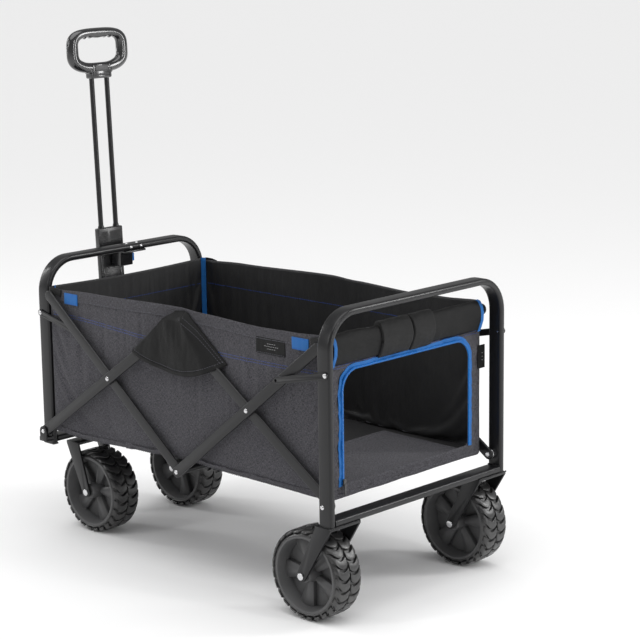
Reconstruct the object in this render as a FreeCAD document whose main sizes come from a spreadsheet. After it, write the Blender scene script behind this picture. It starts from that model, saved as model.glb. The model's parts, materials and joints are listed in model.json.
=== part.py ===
import FreeCAD, Part
import math
import os

import Sketcher

# Folding beach cart, in millimetres. +Z is up, +X points to the tailgate end, and the handle is
# at the -X end. The origin is on the ground, under the middle of the cart with its handle.
# Left is the -Y side. The pieces are drawn about the middle of the two end frames, and that
# middle lies at middle_shift.

SIZES = {
    # wheels
    "tyre_radius": 100.0, "tyre_width": 78.0, "tyre_crown": 9.0, "rim_radius": "=tyre_radius - 15",
    "hub_radius": 19.0, "hub_web": 4.0, "rim_lip": 7.0, "spoke_disc": 30.0, "spoke_gap": 21.0,
    "axle_radius": 5.0, "running_gap": 0.05, "wheel_clearance": 3.0,
    # end frames, bent from one flat tube each
    "tube_wide": 36.0, "tube_thick": 15.0, "tube_wall": 1.5, "bend_radius": 74.0,
    "middle_shift": 25.5, "post_x": 468.0, "rear_post_y": 277.0, "front_post_y": 243.0,
    "top_bar_z": 664.5, "rear_bar_z": 227.0, "front_bar_z": 238.0, "front_post_end_z": 229.0,
    # scissor linkage: feet, crossing pins and lower middle pins
    "foot_x": 461.0, "foot_z": 261.0, "cross_x": 225.0, "cross_z": 424.0, "mid_z": 246.3,
    "strut_wide": 25.0, "strut_thick": 6.4, "strut_wall": 1.4, "strut_tail": "=strut_wide / 2",
    "strut_top": 266.0, "layer_gap": 0.5, "rivet_radius": 3.0, "head_radius": 5.5,
    "head_height": 2.0, "cross_tube_radius": 8.0,
    # short links that guide the tops of the struts
    "link_on_strut": 141.0, "link_wide": 15.0, "link_thick": 3.0, "link_post_inset": 8.0,
    "link_post_z": 542.5,
    # wheel forks
    "fork_plate": 5.0, "fork_top": 43.0, "fork_end": 25.0, "crown_plate": 6.0,
    "rear_axle_x": 401.0, "rear_wheel_y": "=rear_post_y - 35",
    "caster_axle_x": -415.0, "caster_y": 139.5, "caster_trail": 34.0, "bearing_height": 6.0,
    "bearing_radius": 22.0, "stem_radius": 6.0,
    # fabric tub
    "tub_x": 446.0, "tub_y": 248.5, "tub_top": 611.0, "tub_bottom": 270.0, "cloth": 4.0,
    "door_half": 206.0, "door_low": 290.0, "door_high": 534.0, "door_round": 45.0,
    "flap_length": 240.0, "flap_half": 200.0, "flap_thick": 3.0,
    # pull handle
    "pivot_x": -497.0, "pivot_z": 240.0, "lean": 2.5, "sheath_wide": 76.0, "sheath_thick": 16.0,
    "sheath_length": 470.0, "rod_radius": 6.0, "rod_half_pitch": 23.5, "rod_hidden": 72.0,
    "rod_bore_end": 35.0, "grip_base": 836.0, "grip_wide": 172.0, "grip_high": 101.0,
    "grip_thick": 26.0, "hand_wide": 134.0, "hand_high": 60.0, "hand_low": 42.0,
    "neck_wide": 62.0, "neck_high": 26.0, "rod_plug": 10.0, "button_low": 850.0, "button_wide": 40.0,
    "button_high": 12.0, "button_deep": 7.0, "button_travel": 3.0, "sliding_gap": 0.3,
    # latch under the front top bar
    "latch_wide": 39.0, "latch_y": -5.0, "latch_high": 34.0, "latch_deep": 34.0,
    "lever_wide": 18.0, "lever_high": 20.0, "lever_long": 23.0, "lever_travel": 4.0,
}

LEFT_RIGHT = (("left", -1), ("right", 1))
SPOKES = 5

doc = FreeCAD.newDocument("beach_cart")
sheet = doc.addObject("Spreadsheet::Sheet", "Sizes")
for row, (alias, value) in enumerate(SIZES.items(), start=1):
    sheet.set(f"A{row}", alias)
    sheet.set(f"B{row}", str(value))
    sheet.setAlias(f"B{row}", alias)
doc.recompute()

pieces = []


def size(alias):
    """The value of one cell of the sheet."""
    return float(getattr(sheet, alias))


def cell(text):
    """An expression in which every alias is turned into a reference to its cell."""
    words = []
    word = ""
    for letter in text + " ":
        if letter.isalnum() or letter in "_.":
            word += letter
            continue
        words.append(f"Sizes.{word}" if word in SIZES else word)
        words.append(letter)
        word = ""
    return "".join(words).strip()


def bind(thing, **expressions):
    """Drive the named properties of an object by expressions on the sheet."""
    for name, text in expressions.items():
        thing.setExpression(name.replace("__", "."), cell(text))


def vector(x, y, z):
    return FreeCAD.Vector(x, y, z)


def at(x, y, z, angle=0.0):
    """A placement at a point, turned by an angle that tilts +X up towards +Z."""
    return FreeCAD.Placement(vector(x, y, z), FreeCAD.Rotation(vector(0, -1, 0), angle))


def finish(thing, label, place=None):
    """Name one sub-part, put it in its place and add it to the list that is exported."""
    if thing.TypeId in ("Part::Box", "Part::Cylinder"):
        thing = together(f"{thing.Name}Piece", [thing])
    thing.Label = label
    thing.Placement = at(size("middle_shift"), 0, 0).multiply(place or at(0, 0, 0))
    pieces.append(thing)
    return thing


# ---- sketches -------------------------------------------------------------------------------

def new_body(name):
    return doc.addObject("PartDesign::Body", name)


def new_sketch(body, role, offset="0"):
    """A sketch on one of the body's own origin planes, moved along the plane's normal."""
    sketch = body.newObject("Sketcher::SketchObject", f"{body.Name}_sketch")
    plane = [item for item in body.Origin.OriginFeatures if item.Role == role][0]
    sketch.AttachmentSupport = [(plane, "")]
    sketch.MapMode = "FlatFace"
    if offset != "0":
        sketch.setExpression("AttachmentOffset.Base.z", cell(offset))
    return sketch


def dimension(sketch, text, *what):
    """Add one dimension to a sketch and drive it by an expression."""
    index = sketch.addConstraint(Sketcher.Constraint(*what))
    name = f"size_{index}"
    sketch.renameConstraint(index, name)
    sketch.setExpression(f"Constraints.{name}", cell(text))


def value_of(text):
    """The value of an expression on the sheet, as the first guess of a sketch."""
    result = sheet.evalExpression(cell(text))
    return float(getattr(result, "Value", result))


def polygon(sketch, corners):
    """A closed outline through corners that are given as pairs of expressions."""
    points = [vector(value_of(x), value_of(y), 0) for x, y in corners]
    count = len(points)
    for index in range(count):
        edge = Part.LineSegment(points[index], points[(index + 1) % count])
        sketch.addGeometry(edge, False)
    for index in range(count):
        after = (index + 1) % count
        sketch.addConstraint(Sketcher.Constraint("Coincident", index, 2, after, 1))
    for index, (x, y) in enumerate(corners):
        dimension(sketch, x, "DistanceX", -1, 1, index, 1, points[index].x)
        dimension(sketch, y, "DistanceY", -1, 1, index, 1, points[index].y)


def rectangle(sketch, left, low, right, high):
    polygon(sketch, [(left, low), (right, low), (right, high), (left, high)])


def circles(sketch, rounds):
    """Circles given as (x, y, radius) expressions."""
    for x, y, radius in rounds:
        centre = vector(value_of(x), value_of(y), 0)
        index = sketch.addGeometry(Part.Circle(centre, vector(0, 0, 1), value_of(radius)), False)
        dimension(sketch, radius, "Radius", index, value_of(radius))
        dimension(sketch, x, "DistanceX", -1, 1, index, 3, centre.x)
        dimension(sketch, y, "DistanceY", -1, 1, index, 3, centre.y)


def slot(sketch, start, end, radius):
    """A slot along the sketch's X axis, round at both ends."""
    low, high, half = value_of(start), value_of(end), value_of(radius)
    turn = math.pi / 2
    ends = ((high, -turn, turn), (low, turn, 3 * turn))
    for x, begin, stop in ends:
        circle = Part.Circle(vector(x, 0, 0), vector(0, 0, 1), half)
        sketch.addGeometry(Part.ArcOfCircle(circle, begin, stop), False)
    sketch.addGeometry(Part.LineSegment(vector(high, half, 0), vector(low, half, 0)), False)
    sketch.addGeometry(Part.LineSegment(vector(low, -half, 0), vector(high, -half, 0)), False)
    for first, its_end, second, its_start in ((0, 2, 2, 1), (2, 2, 1, 1), (1, 2, 3, 1), (3, 2, 0, 1)):
        sketch.addConstraint(Sketcher.Constraint("Tangent", first, its_end, second, its_start))
    sketch.addConstraint(Sketcher.Constraint("Equal", 0, 1))
    dimension(sketch, radius, "Radius", 0, half)
    dimension(sketch, end, "DistanceX", -1, 1, 0, 3, high)
    dimension(sketch, start, "DistanceX", -1, 1, 1, 3, low)
    sketch.addConstraint(Sketcher.Constraint("PointOnObject", 0, 3, -1))
    sketch.addConstraint(Sketcher.Constraint("PointOnObject", 1, 3, -1))


# ---- features -------------------------------------------------------------------------------

def pad(body, sketch, length, reverse=False, middle=True):
    feature = body.newObject("PartDesign::Pad", f"{body.Name}_pad")
    feature.Profile = sketch
    feature.Midplane = middle
    feature.Reversed = reverse
    bind(feature, Length=length)
    doc.recompute()
    return feature


def cut(body, sketch, length=None, reverse=False):
    """A pocket: right through both ways, or to a depth from the sketch. It has to remove metal."""
    before = body.Shape.Volume
    feature = body.newObject("PartDesign::Pocket", f"{body.Name}_pocket")
    feature.Profile = sketch
    feature.Reversed = reverse
    if length is None:
        feature.Type = "ThroughAll"
        feature.Midplane = True
    else:
        bind(feature, Length=length)
    doc.recompute()
    if body.Shape.Volume >= before:
        raise RuntimeError(f"{feature.Name} removes nothing")
    return feature


def revolve(body, sketch):
    """Turn a sketch on the XY plane once round the Y axis."""
    feature = body.newObject("PartDesign::Revolution", f"{body.Name}_turned")
    feature.Profile = sketch
    feature.ReferenceAxis = (sketch, ["V_Axis"])
    feature.Angle = 360
    doc.recompute()
    return feature


def ring_pattern(body, feature, count):
    """Repeat one feature round the Y axis of the body."""
    pattern = body.newObject("PartDesign::PolarPattern", f"{body.Name}_ring")
    pattern.Originals = [feature]
    pattern.Axis = ([item for item in body.Origin.OriginFeatures if item.Role == "Y_Axis"][0], [""])
    pattern.Angle = 360
    pattern.Occurrences = count
    body.Tip = pattern
    doc.recompute()
    return pattern


def round_edges(body, feature, radius, wanted):
    """Fillet the edges of a feature that a test picks out."""
    names = [f"Edge{n}" for n, edge in enumerate(feature.Shape.Edges, 1) if wanted(edge)]
    fillet = body.newObject("PartDesign::Fillet", f"{body.Name}_fillet")
    fillet.Base = (feature, names)
    bind(fillet, Radius=radius)
    doc.recompute()
    return fillet


def runs_along(axis):
    """A test for straight edges that are parallel to an axis."""
    def test(edge):
        if edge.Curve.TypeId != "Part::GeomLine":
            return False
        return abs(abs(edge.Curve.Direction.dot(axis)) - 1) < 1e-6
    return test


def box(name, x, y, z):
    """A plain box between three pairs of expressions."""
    item = doc.addObject("Part::Box", name)
    bind(item, Length=f"({x[1]}) - ({x[0]})", Width=f"({y[1]}) - ({y[0]})",
         Height=f"({z[1]}) - ({z[0]})")
    bind(item, Placement__Base__x=x[0], Placement__Base__y=y[0], Placement__Base__z=z[0])
    return item


def rod(name, radius, start, length, axis):
    """A round bar from a point given as three expressions, along one of the three axes."""
    item = doc.addObject("Part::Cylinder", name)
    bind(item, Radius=radius, Height=length)
    item.Placement = FreeCAD.Placement(vector(0, 0, 0), FreeCAD.Rotation(vector(0, 0, 1), axis))
    bind(item, Placement__Base__x=start[0], Placement__Base__y=start[1],
         Placement__Base__z=start[2])
    return item


def joined(name, parts):
    item = doc.addObject("Part::MultiFuse", name)
    item.Shapes = parts
    return item


def together(name, parts):
    """Separate solids that share one sub-part."""
    item = doc.addObject("Part::Compound", name)
    item.Links = parts
    return item


def less(name, base, tool):
    item = doc.addObject("Part::Cut", name)
    item.Base = base
    item.Tool = tool
    return item


def outward(side):
    return vector(0, side, 0)


# ---- end frames -----------------------------------------------------------------------------

def end_frame(name, x, half, low):
    """One flat tube bent into an upside-down U: the path, then the hollow section along it."""
    body = new_body(name)
    path = new_sketch(body, "YZ_Plane", x)
    side, foot, top, bend = value_of(half), value_of(low), size("top_bar_z"), size("bend_radius")
    inner, shoulder = side - bend, top - bend
    path.addGeometry(Part.LineSegment(vector(-side, foot, 0), vector(-side, shoulder, 0)), False)
    left = Part.Circle(vector(-inner, shoulder, 0), vector(0, 0, 1), bend)
    path.addGeometry(Part.ArcOfCircle(left, math.pi / 2, math.pi), False)
    path.addGeometry(Part.LineSegment(vector(-inner, top, 0), vector(inner, top, 0)), False)
    right = Part.Circle(vector(inner, shoulder, 0), vector(0, 0, 1), bend)
    path.addGeometry(Part.ArcOfCircle(right, 0, math.pi / 2), False)
    path.addGeometry(Part.LineSegment(vector(side, shoulder, 0), vector(side, foot, 0)), False)
    for joint in ((0, 2, 1, 2), (1, 1, 2, 1), (2, 2, 3, 2), (3, 1, 4, 1)):
        path.addConstraint(Sketcher.Constraint("Tangent", *joint))
    path.addConstraint(Sketcher.Constraint("Vertical", 0))
    path.addConstraint(Sketcher.Constraint("Vertical", 4))
    path.addConstraint(Sketcher.Constraint("Equal", 1, 3))
    dimension(path, "bend_radius", "Radius", 1, bend)
    dimension(path, "top_bar_z", "DistanceY", -1, 1, 2, 1, top)
    dimension(path, f"-({half})", "DistanceX", -1, 1, 0, 1, -side)
    dimension(path, half, "DistanceX", -1, 1, 4, 2, side)
    dimension(path, low, "DistanceY", -1, 1, 0, 1, foot)
    dimension(path, low, "DistanceY", -1, 1, 4, 2, foot)

    section = new_sketch(body, "XY_Plane", low)
    for wall in ("0", "tube_wall"):
        rectangle_section(section, x, half, wall)
    pipe = body.newObject("PartDesign::AdditivePipe", f"{name}_tube")
    pipe.Profile = section
    pipe.Spine = (path, ["Edge1", "Edge2", "Edge3", "Edge4", "Edge5"])
    doc.recompute()
    return body


def rectangle_section(sketch, x, half, wall):
    """One loop of the tube's section, round the left post."""
    first = len(sketch.Geometry)
    corners = [(f"({x}) - tube_wide / 2 + {wall}", f"-({half}) - tube_thick / 2 + {wall}"),
               (f"({x}) + tube_wide / 2 - {wall}", f"-({half}) - tube_thick / 2 + {wall}"),
               (f"({x}) + tube_wide / 2 - {wall}", f"-({half}) + tube_thick / 2 - {wall}"),
               (f"({x}) - tube_wide / 2 + {wall}", f"-({half}) + tube_thick / 2 - {wall}")]
    points = [vector(value_of(a), value_of(b), 0) for a, b in corners]
    for index in range(4):
        sketch.addGeometry(Part.LineSegment(points[index], points[(index + 1) % 4]), False)
    for index in range(4):
        after = first + (index + 1) % 4
        sketch.addConstraint(Sketcher.Constraint("Coincident", first + index, 2, after, 1))
    for index, (a, b) in enumerate(corners):
        dimension(sketch, a, "DistanceX", -1, 1, first + index, 1, points[index].x)
        dimension(sketch, b, "DistanceY", -1, 1, first + index, 1, points[index].y)


def cross_bar(name, x, half, height):
    """A straight hollow bar between the inner faces of two posts."""
    reach = f"({half}) - tube_thick / 2"
    outer = box(f"{name}_outer", (f"({x}) - tube_wide / 2", f"({x}) + tube_wide / 2"),
                (f"-({reach})", reach),
                (f"({height}) - tube_thick / 2", f"({height}) + tube_thick / 2"))
    inner = box(f"{name}_hollow",
                (f"({x}) - tube_wide / 2 + tube_wall", f"({x}) + tube_wide / 2 - tube_wall"),
                (f"-({reach})", reach),
                (f"({height}) - tube_thick / 2 + tube_wall",
                 f"({height}) + tube_thick / 2 - tube_wall"))
    return less(name, outer, inner)


def pin_holes(body, holes):
    """Holes right through both sides of an end frame, seen along the Y axis."""
    sketch = new_sketch(body, "XZ_Plane")
    circles(sketch, holes)
    cut(body, sketch)


link_post_x = "post_x + link_post_inset"
frame = end_frame("FrontFrame", "-post_x", "front_post_y", "front_post_end_z")
pin_holes(frame, [("-foot_x", "foot_z", "rivet_radius"),
                  (f"-({link_post_x})", "link_post_z", "rivet_radius")])
finish(frame, "front_frame_tube")
frame = end_frame("RearFrame", "post_x", "rear_post_y", "rear_bar_z - tube_thick / 2")
pin_holes(frame, [("foot_x", "foot_z", "rivet_radius"),
                  (link_post_x, "link_post_z", "rivet_radius")])
finish(frame, "rear_frame_tube")
finish(cross_bar("FrontBar", "-post_x", "front_post_y", "front_bar_z"), "front_bottom_bar")
finish(cross_bar("RearBar", "post_x", "rear_post_y", "rear_bar_z"), "rear_bottom_bar")

# ---- layers across the cart -----------------------------------------------------------------
# From the outside in: rear link, rear post, outer struts, inner struts, front link, front post.

REAR_FACE = "rear_post_y - tube_thick / 2"
OUTER = (f"{REAR_FACE} - layer_gap - strut_thick", f"{REAR_FACE} - layer_gap")
INNER = (f"{REAR_FACE} - 2 * layer_gap - 2 * strut_thick",
         f"{REAR_FACE} - 2 * layer_gap - strut_thick")
FRONT_FACE = "front_post_y + tube_thick / 2"
FRONT_LINK = (f"{FRONT_FACE} + 2 * layer_gap", f"{FRONT_FACE} + 2 * layer_gap + link_thick")
REAR_LINK = ("rear_post_y + tube_thick / 2 + layer_gap",
             "rear_post_y + tube_thick / 2 + layer_gap + link_thick")
BEARING_FACE = f"{INNER[0]} - layer_gap"


def span(side, low, high):
    """The two expressions of a range in Y on one side, lower value first."""
    return (low, high) if side > 0 else (f"-({high})", f"-({low})")


def across(name, radius, x, z, side, low, high):
    """A round bar across the cart, between two distances from the middle plane."""
    start = (x, low if side > 0 else f"-({low})", z)
    return rod(name, radius, start, f"({high}) - ({low})", outward(side))


def rivet(name, x, z, side, low, high, inner_head=True):
    """A rivet with a domed head on its outer end and a flat one on its inner end."""
    shank = across(f"{name}_shank", "rivet_radius", x, z, side, low, high)
    dome = doc.addObject("Part::Cone", f"{name}_dome")
    bind(dome, Radius1="head_radius", Radius2="head_radius * 0.6", Height="head_height")
    dome.Placement = FreeCAD.Placement(vector(0, 0, 0),
                                       FreeCAD.Rotation(vector(0, 0, 1), outward(side)))
    bind(dome, Placement__Base__x=x, Placement__Base__z=z,
         Placement__Base__y=high if side > 0 else f"-({high})")
    parts = [shank, dome]
    if inner_head:
        parts.append(across(f"{name}_tail", "head_radius", x, z, side,
                            f"{low} - head_height", low))
    return joined(name, parts)


def rivet_pair(label, x, z, low, high, inner_head=True):
    """The same rivet on both sides, as one sub-part."""
    name = label.title().replace("_", "")
    both = [rivet(f"{name}_{word}", x, z, side, low, high, inner_head)
            for word, side in LEFT_RIGHT]
    finish(together(name, both), label)


# ---- front frame fittings -------------------------------------------------------------------

FRONT_EDGE = "-post_x - tube_wide / 2"
BACK_EDGE = "-post_x + tube_wide / 2"
PLATE_TOP = "front_bar_z - tube_thick / 2"
SWIVEL_X = "caster_axle_x - caster_trail"


def foot_cap(word, side):
    """A plug with a flat sole that closes the lower end of a front post."""
    sole = box(f"CapSole_{word}", (FRONT_EDGE, BACK_EDGE),
               span(side, "front_post_y - tube_thick / 2", FRONT_FACE),
               ("front_post_end_z - 4", "front_post_end_z"))
    plug = box(f"CapPlug_{word}", (f"{FRONT_EDGE} + tube_wall", f"{BACK_EDGE} - tube_wall"),
               span(side, "front_post_y - tube_thick / 2 + tube_wall",
                    f"{FRONT_FACE} - tube_wall"),
               ("front_post_end_z", "front_post_end_z + 12"))
    return joined(f"FootCap_{word}", [sole, plug])


def foot_bracket(word, side):
    """The bracket on a front post that holds the foot of the outer strut between two cheeks."""
    cheek = (f"{OUTER[1]} + layer_gap", f"{OUTER[1]} + layer_gap + 3")
    web = box(f"FootWeb_{word}", ("-foot_x - 14", "-foot_x + 12"),
              span(side, FRONT_FACE, cheek[1]),
              ("foot_z - strut_tail - 12", "foot_z - strut_tail - 2"))
    ear = box(f"FootEar_{word}", ("-foot_x - 12", "-foot_x + 12"), span(side, *cheek),
              ("foot_z - strut_tail - 12", "foot_z"))
    round_ear = across(f"FootRound_{word}", "12", "-foot_x", "foot_z", side, *cheek)
    boss = across(f"FootBoss_{word}", "11", "-foot_x", "foot_z", side, FRONT_FACE,
                  f"{OUTER[0]} - layer_gap")
    rib = box(f"FootRib_{word}", ("-foot_x - 8", "-foot_x + 8"),
              span(side, FRONT_FACE, f"{OUTER[0]} - layer_gap"),
              ("foot_z - strut_tail - 12", "foot_z"))
    hole = across(f"FootHole_{word}", "rivet_radius", "-foot_x", "foot_z", side, FRONT_FACE,
                  cheek[1])
    solid = joined(f"FootSolid_{word}", [web, ear, round_ear, boss, rib])
    finish(less(f"FootBracket_{word}", solid, hole), f"front_foot_bracket_{word}")


def caster_plate(word, side):
    """The plate under the front bar that the caster turns in."""
    plate = box(f"PlateBlank_{word}", (FRONT_EDGE, f"{SWIVEL_X} + 30"),
                span(side, "caster_y - 30", "caster_y + 30"),
                (f"{PLATE_TOP} - crown_plate", PLATE_TOP))
    hole = rod(f"PlateHole_{word}", "stem_radius + running_gap",
               (SWIVEL_X, f"{side} * caster_y", f"{PLATE_TOP} - crown_plate"), "crown_plate",
               vector(0, 0, 1))
    finish(less(f"CasterPlate_{word}", plate, hole), f"caster_plate_{word}")


finish(together("FootCaps", [foot_cap(word, side) for word, side in LEFT_RIGHT]),
       "front_foot_caps")
front_rivets = []
rear_rivets = []
for word, side in LEFT_RIGHT:
    foot_bracket(word, side)
    caster_plate(word, side)
    post_face = "front_post_y - tube_thick / 2"
    front_rivets.append(rivet(f"FrontFoot_{word}", "-foot_x", "foot_z", side, post_face,
                              f"{OUTER[1]} + layer_gap + 3"))
    front_rivets.append(rivet(f"FrontPin_{word}", f"-({link_post_x})", "link_post_z", side,
                              post_face, FRONT_LINK[1]))
    rear_rivets.append(rivet(f"RearPin_{word}", link_post_x, "link_post_z", side, REAR_FACE,
                             REAR_LINK[1], inner_head=False))
    # A rear foot rivet passes the inner strut, a spacer and the post.
    foot_rivet = rivet(f"RearFoot_{word}", "foot_x", "foot_z", side, INNER[0],
                       "rear_post_y + tube_thick / 2")
    spacer = across(f"RearSpacer_{word}", "11", "foot_x", "foot_z", side,
                    f"{INNER[1]} + layer_gap / 2", REAR_FACE)
    rear_rivets.append(joined(f"RearFootRivet_{word}", [foot_rivet, spacer]))
finish(together("FrontRivets", front_rivets), "front_frame_rivets")
finish(together("RearRivets", rear_rivets), "rear_frame_rivets")

# ---- scissor linkage ------------------------------------------------------------------------
# Both struts of a pair share the length from foot to crossing pin and from there to the middle
# pin, so the lower half of each cross is an isosceles triangle at every stage of the fold.

foot_rise = size("cross_z") - size("foot_z")
foot_run = size("foot_x") - size("cross_x")
mid_rise = size("cross_z") - size("mid_z")
foot_angle = math.degrees(math.atan2(foot_rise, foot_run))
mid_angle = math.degrees(math.atan2(mid_rise, size("cross_x")))

LOW_FOOT = "sqrt((foot_x - cross_x) * (foot_x - cross_x) + (cross_z - foot_z) * (cross_z - foot_z))"
LOW_MID = "sqrt(cross_x * cross_x + (cross_z - mid_z) * (cross_z - mid_z))"
TOP_MID = f"cross_x * {LOW_FOOT} / (foot_x - cross_x)"
TOP_MID_Z = "cross_z + cross_x * (cross_z - foot_z) / (foot_x - cross_x)"


def strut(name, lower, upper, opening, holes):
    """A pressed channel along X with its crossing pin at the origin and solid round ends."""
    body = new_body(name)
    outline = new_sketch(body, "XZ_Plane")
    slot(outline, f"-({lower})", upper, "strut_wide / 2")
    pad(body, outline, "strut_thick")
    face = new_sketch(body, "XZ_Plane", f"{-opening} * strut_thick / 2")
    half = "strut_wide / 2 - strut_wall"
    rectangle(face, f"-({lower}) + strut_wide", f"-({half})", "-strut_wide / 2 - 4", half)
    cut(body, face, "strut_thick - strut_wall", reverse=opening > 0)
    face = new_sketch(body, "XZ_Plane", f"{-opening} * strut_thick / 2")
    rectangle(face, "strut_wide / 2 + 4", f"-({half})", f"{upper} - strut_wide", half)
    cut(body, face, "strut_thick - strut_wall", reverse=opening > 0)
    drilled = new_sketch(body, "XZ_Plane")
    circles(drilled, holes)
    cut(body, drilled)
    return body


def layer_middle(side, layer):
    """The Y of the middle of a layer on one side, as a number."""
    return side * (value_of(layer[0]) + value_of(layer[1])) / 2


TIGHT = "rivet_radius"
FREE = "rivet_radius + running_gap"
LOOSE = "rivet_radius + 2.5"
cross_x, cross_z = size("cross_x"), size("cross_z")
for word, side in LEFT_RIGHT:
    y_outer = layer_middle(side, OUTER)
    y_inner = layer_middle(side, INNER)
    finish(strut(f"FrontOuter_{word}", LOW_FOOT, TOP_MID, -side,
                 [(f"-({LOW_FOOT})", "0", FREE), ("0", "0", TIGHT), (TOP_MID, "0", TIGHT)]),
           f"front_outer_strut_{word}", at(-cross_x, y_outer, cross_z, foot_angle))
    finish(strut(f"FrontInner_{word}", LOW_MID, "strut_top", side,
                 [(f"-({LOW_MID})", "0", TIGHT), ("0", "0", FREE),
                  ("link_on_strut", "0", TIGHT)]),
           f"front_inner_strut_{word}", at(-cross_x, y_inner, cross_z, 180 - mid_angle))
    finish(strut(f"RearOuter_{word}", LOW_MID, "strut_top", -side,
                 [(f"-({LOW_MID})", "0", FREE), ("0", "0", TIGHT)]),
           f"rear_outer_strut_{word}", at(cross_x, y_outer, cross_z, mid_angle))
    finish(strut(f"RearInner_{word}", LOW_FOOT, TOP_MID, side,
                 [(f"-({LOW_FOOT})", "0", FREE), ("0", "0", FREE), (TOP_MID, "0", LOOSE)]),
           f"rear_inner_strut_{word}", at(cross_x, y_inner, cross_z, 180 - foot_angle))

rivet_pair("front_cross_rivets", "-cross_x", "cross_z", BEARING_FACE, f"{OUTER[1]}")
rivet_pair("rear_cross_rivets", "cross_x", "cross_z", BEARING_FACE, f"{OUTER[1]}")
rivet_pair("top_middle_rivets", "0", TOP_MID_Z, BEARING_FACE, f"{OUTER[1]}")
rivet_pair("lower_middle_rivets", "0", "mid_z", f"{INNER[0]}", f"{OUTER[1]} + layer_gap", False)
finish(across("CrossTube", "cross_tube_radius", "0", "mid_z", 1, f"-({INNER[0]})", INNER[0]),
       "middle_cross_tube")

strut_pin_x = f"cross_x + link_on_strut * cross_x / {LOW_MID}"
strut_pin_z = f"cross_z + link_on_strut * (cross_z - mid_z) / {LOW_MID}"
web_face = f"{INNER[0]} + strut_wall"
rivet_pair("inner_strut_link_rivets", f"-({strut_pin_x})", strut_pin_z, f"{INNER[0]}",
           web_face, inner_head=False)
posts = []
for word, side in LEFT_RIGHT:
    posts.append(across(f"LinkPost_{word}", "head_radius + 1", strut_pin_x, strut_pin_z, side,
                        OUTER[1], f"{REAR_LINK[0]} - layer_gap"))
finish(together("LinkPosts", posts), "outer_strut_link_posts")


def link(name, length):
    """A short flat bar with a hole at each end, its post pin at the origin."""
    body = new_body(name)
    outline = new_sketch(body, "XZ_Plane")
    slot(outline, "0", length, "link_wide / 2")
    pad(body, outline, "link_thick")
    drilled = new_sketch(body, "XZ_Plane")
    circles(drilled, [("0", "0", FREE), (length, "0", TIGHT)])
    cut(body, drilled)
    return body


link_run = f"({link_post_x} - ({strut_pin_x}))"
link_drop = f"(link_post_z - ({strut_pin_z}))"
LINK_LENGTH = f"sqrt({link_run} * {link_run} + {link_drop} * {link_drop})"
link_angle = -math.degrees(math.atan2(value_of(link_drop), value_of(link_run)))
post_x, post_z = value_of(link_post_x), size("link_post_z")
for word, side in LEFT_RIGHT:
    finish(link(f"FrontLink_{word}", LINK_LENGTH), f"front_link_{word}",
           at(-post_x, layer_middle(side, FRONT_LINK), post_z, link_angle))
    finish(link(f"RearLink_{word}", LINK_LENGTH), f"rear_link_{word}",
           at(post_x, layer_middle(side, REAR_LINK), post_z, 180 - link_angle))

# ---- wheels ---------------------------------------------------------------------------------

HALF_WIDTH = "tyre_width / 2"


def hub(name):
    """A plastic wheel: barrel, rim and spoked disc, with pockets down to a web between spokes."""
    body = new_body(name)
    profile = new_sketch(body, "XY_Plane")
    bore, barrel = "axle_radius + running_gap", "hub_radius"
    inside, disc, lip = "rim_radius - rim_lip", "spoke_disc / 2", f"{HALF_WIDTH} - 2"
    polygon(profile, [(bore, f"-({lip})"), (barrel, f"-({lip})"), (barrel, f"-({disc})"),
                      (inside, f"-({disc})"), (inside, f"-({lip})"), ("rim_radius", f"-({lip})"),
                      ("rim_radius", lip), (inside, lip), (inside, disc), (barrel, disc),
                      (barrel, lip), (bore, lip)])
    revolve(body, profile)
    opening = new_sketch(body, "XZ_Plane")
    low, high = "hub_radius + 8", "rim_radius - rim_lip - 6"
    polygon(opening, [(low, "-spoke_gap / 2"), (high, "-spoke_gap - 3"), (high, "spoke_gap + 3"),
                      (low, "spoke_gap / 2")])
    ring_pattern(body, cut(body, opening), SPOKES)
    web = new_sketch(body, "XY_Plane")
    polygon(web, [(f"{barrel} - 1", "-hub_web / 2"), (f"{inside} + 1", "-hub_web / 2"),
                  (f"{inside} + 1", "hub_web / 2"), (f"{barrel} - 1", "hub_web / 2")])
    revolve(body, web)
    return body


def tyre(name):
    body = new_body(name)
    profile = new_sketch(body, "XY_Plane")
    shoulder, side = f"{HALF_WIDTH} - tyre_crown", HALF_WIDTH
    inner, wall, tread = "rim_radius", "tyre_radius - tyre_crown * 0.6", "tyre_radius"
    polygon(profile, [(inner, f"-({side})"), (wall, f"-({side})"), (tread, f"-({shoulder})"),
                      (tread, shoulder), (wall, side), (inner, side)])
    revolve(body, profile)
    return body


LEG_IN = "tyre_width / 2 + wheel_clearance"
LEG_OUT = "tyre_width / 2 + wheel_clearance + fork_plate"


def fork_leg(name, run, rise, low, high):
    """A tapered flat leg in the XZ plane, with the axle at the origin and a level top edge."""
    body = new_body(name)
    offset = f"-(({low}) + ({high})) / 2"
    outline = new_sketch(body, "XZ_Plane", offset)
    length = f"sqrt(({run}) * ({run}) + ({rise}) * ({rise}))"
    across_x, across_z = f"fork_end / 2 * ({rise}) / {length}", f"fork_end / 2 * ({run}) / {length}"
    polygon(outline, [(f"({run}) - fork_top / 2", rise), (f"-{across_x}", across_z),
                      (across_x, f"-({across_z})"), (f"({run}) + fork_top / 2", rise)])
    pad(body, outline, "fork_plate")
    end = new_sketch(body, "XZ_Plane", offset)
    circles(end, [("0", "0", "fork_end / 2")])
    pad(body, end, "fork_plate")
    drilled = new_sketch(body, "XZ_Plane")
    circles(drilled, [("0", "0", "axle_radius")])
    cut(body, drilled)
    return body


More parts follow.
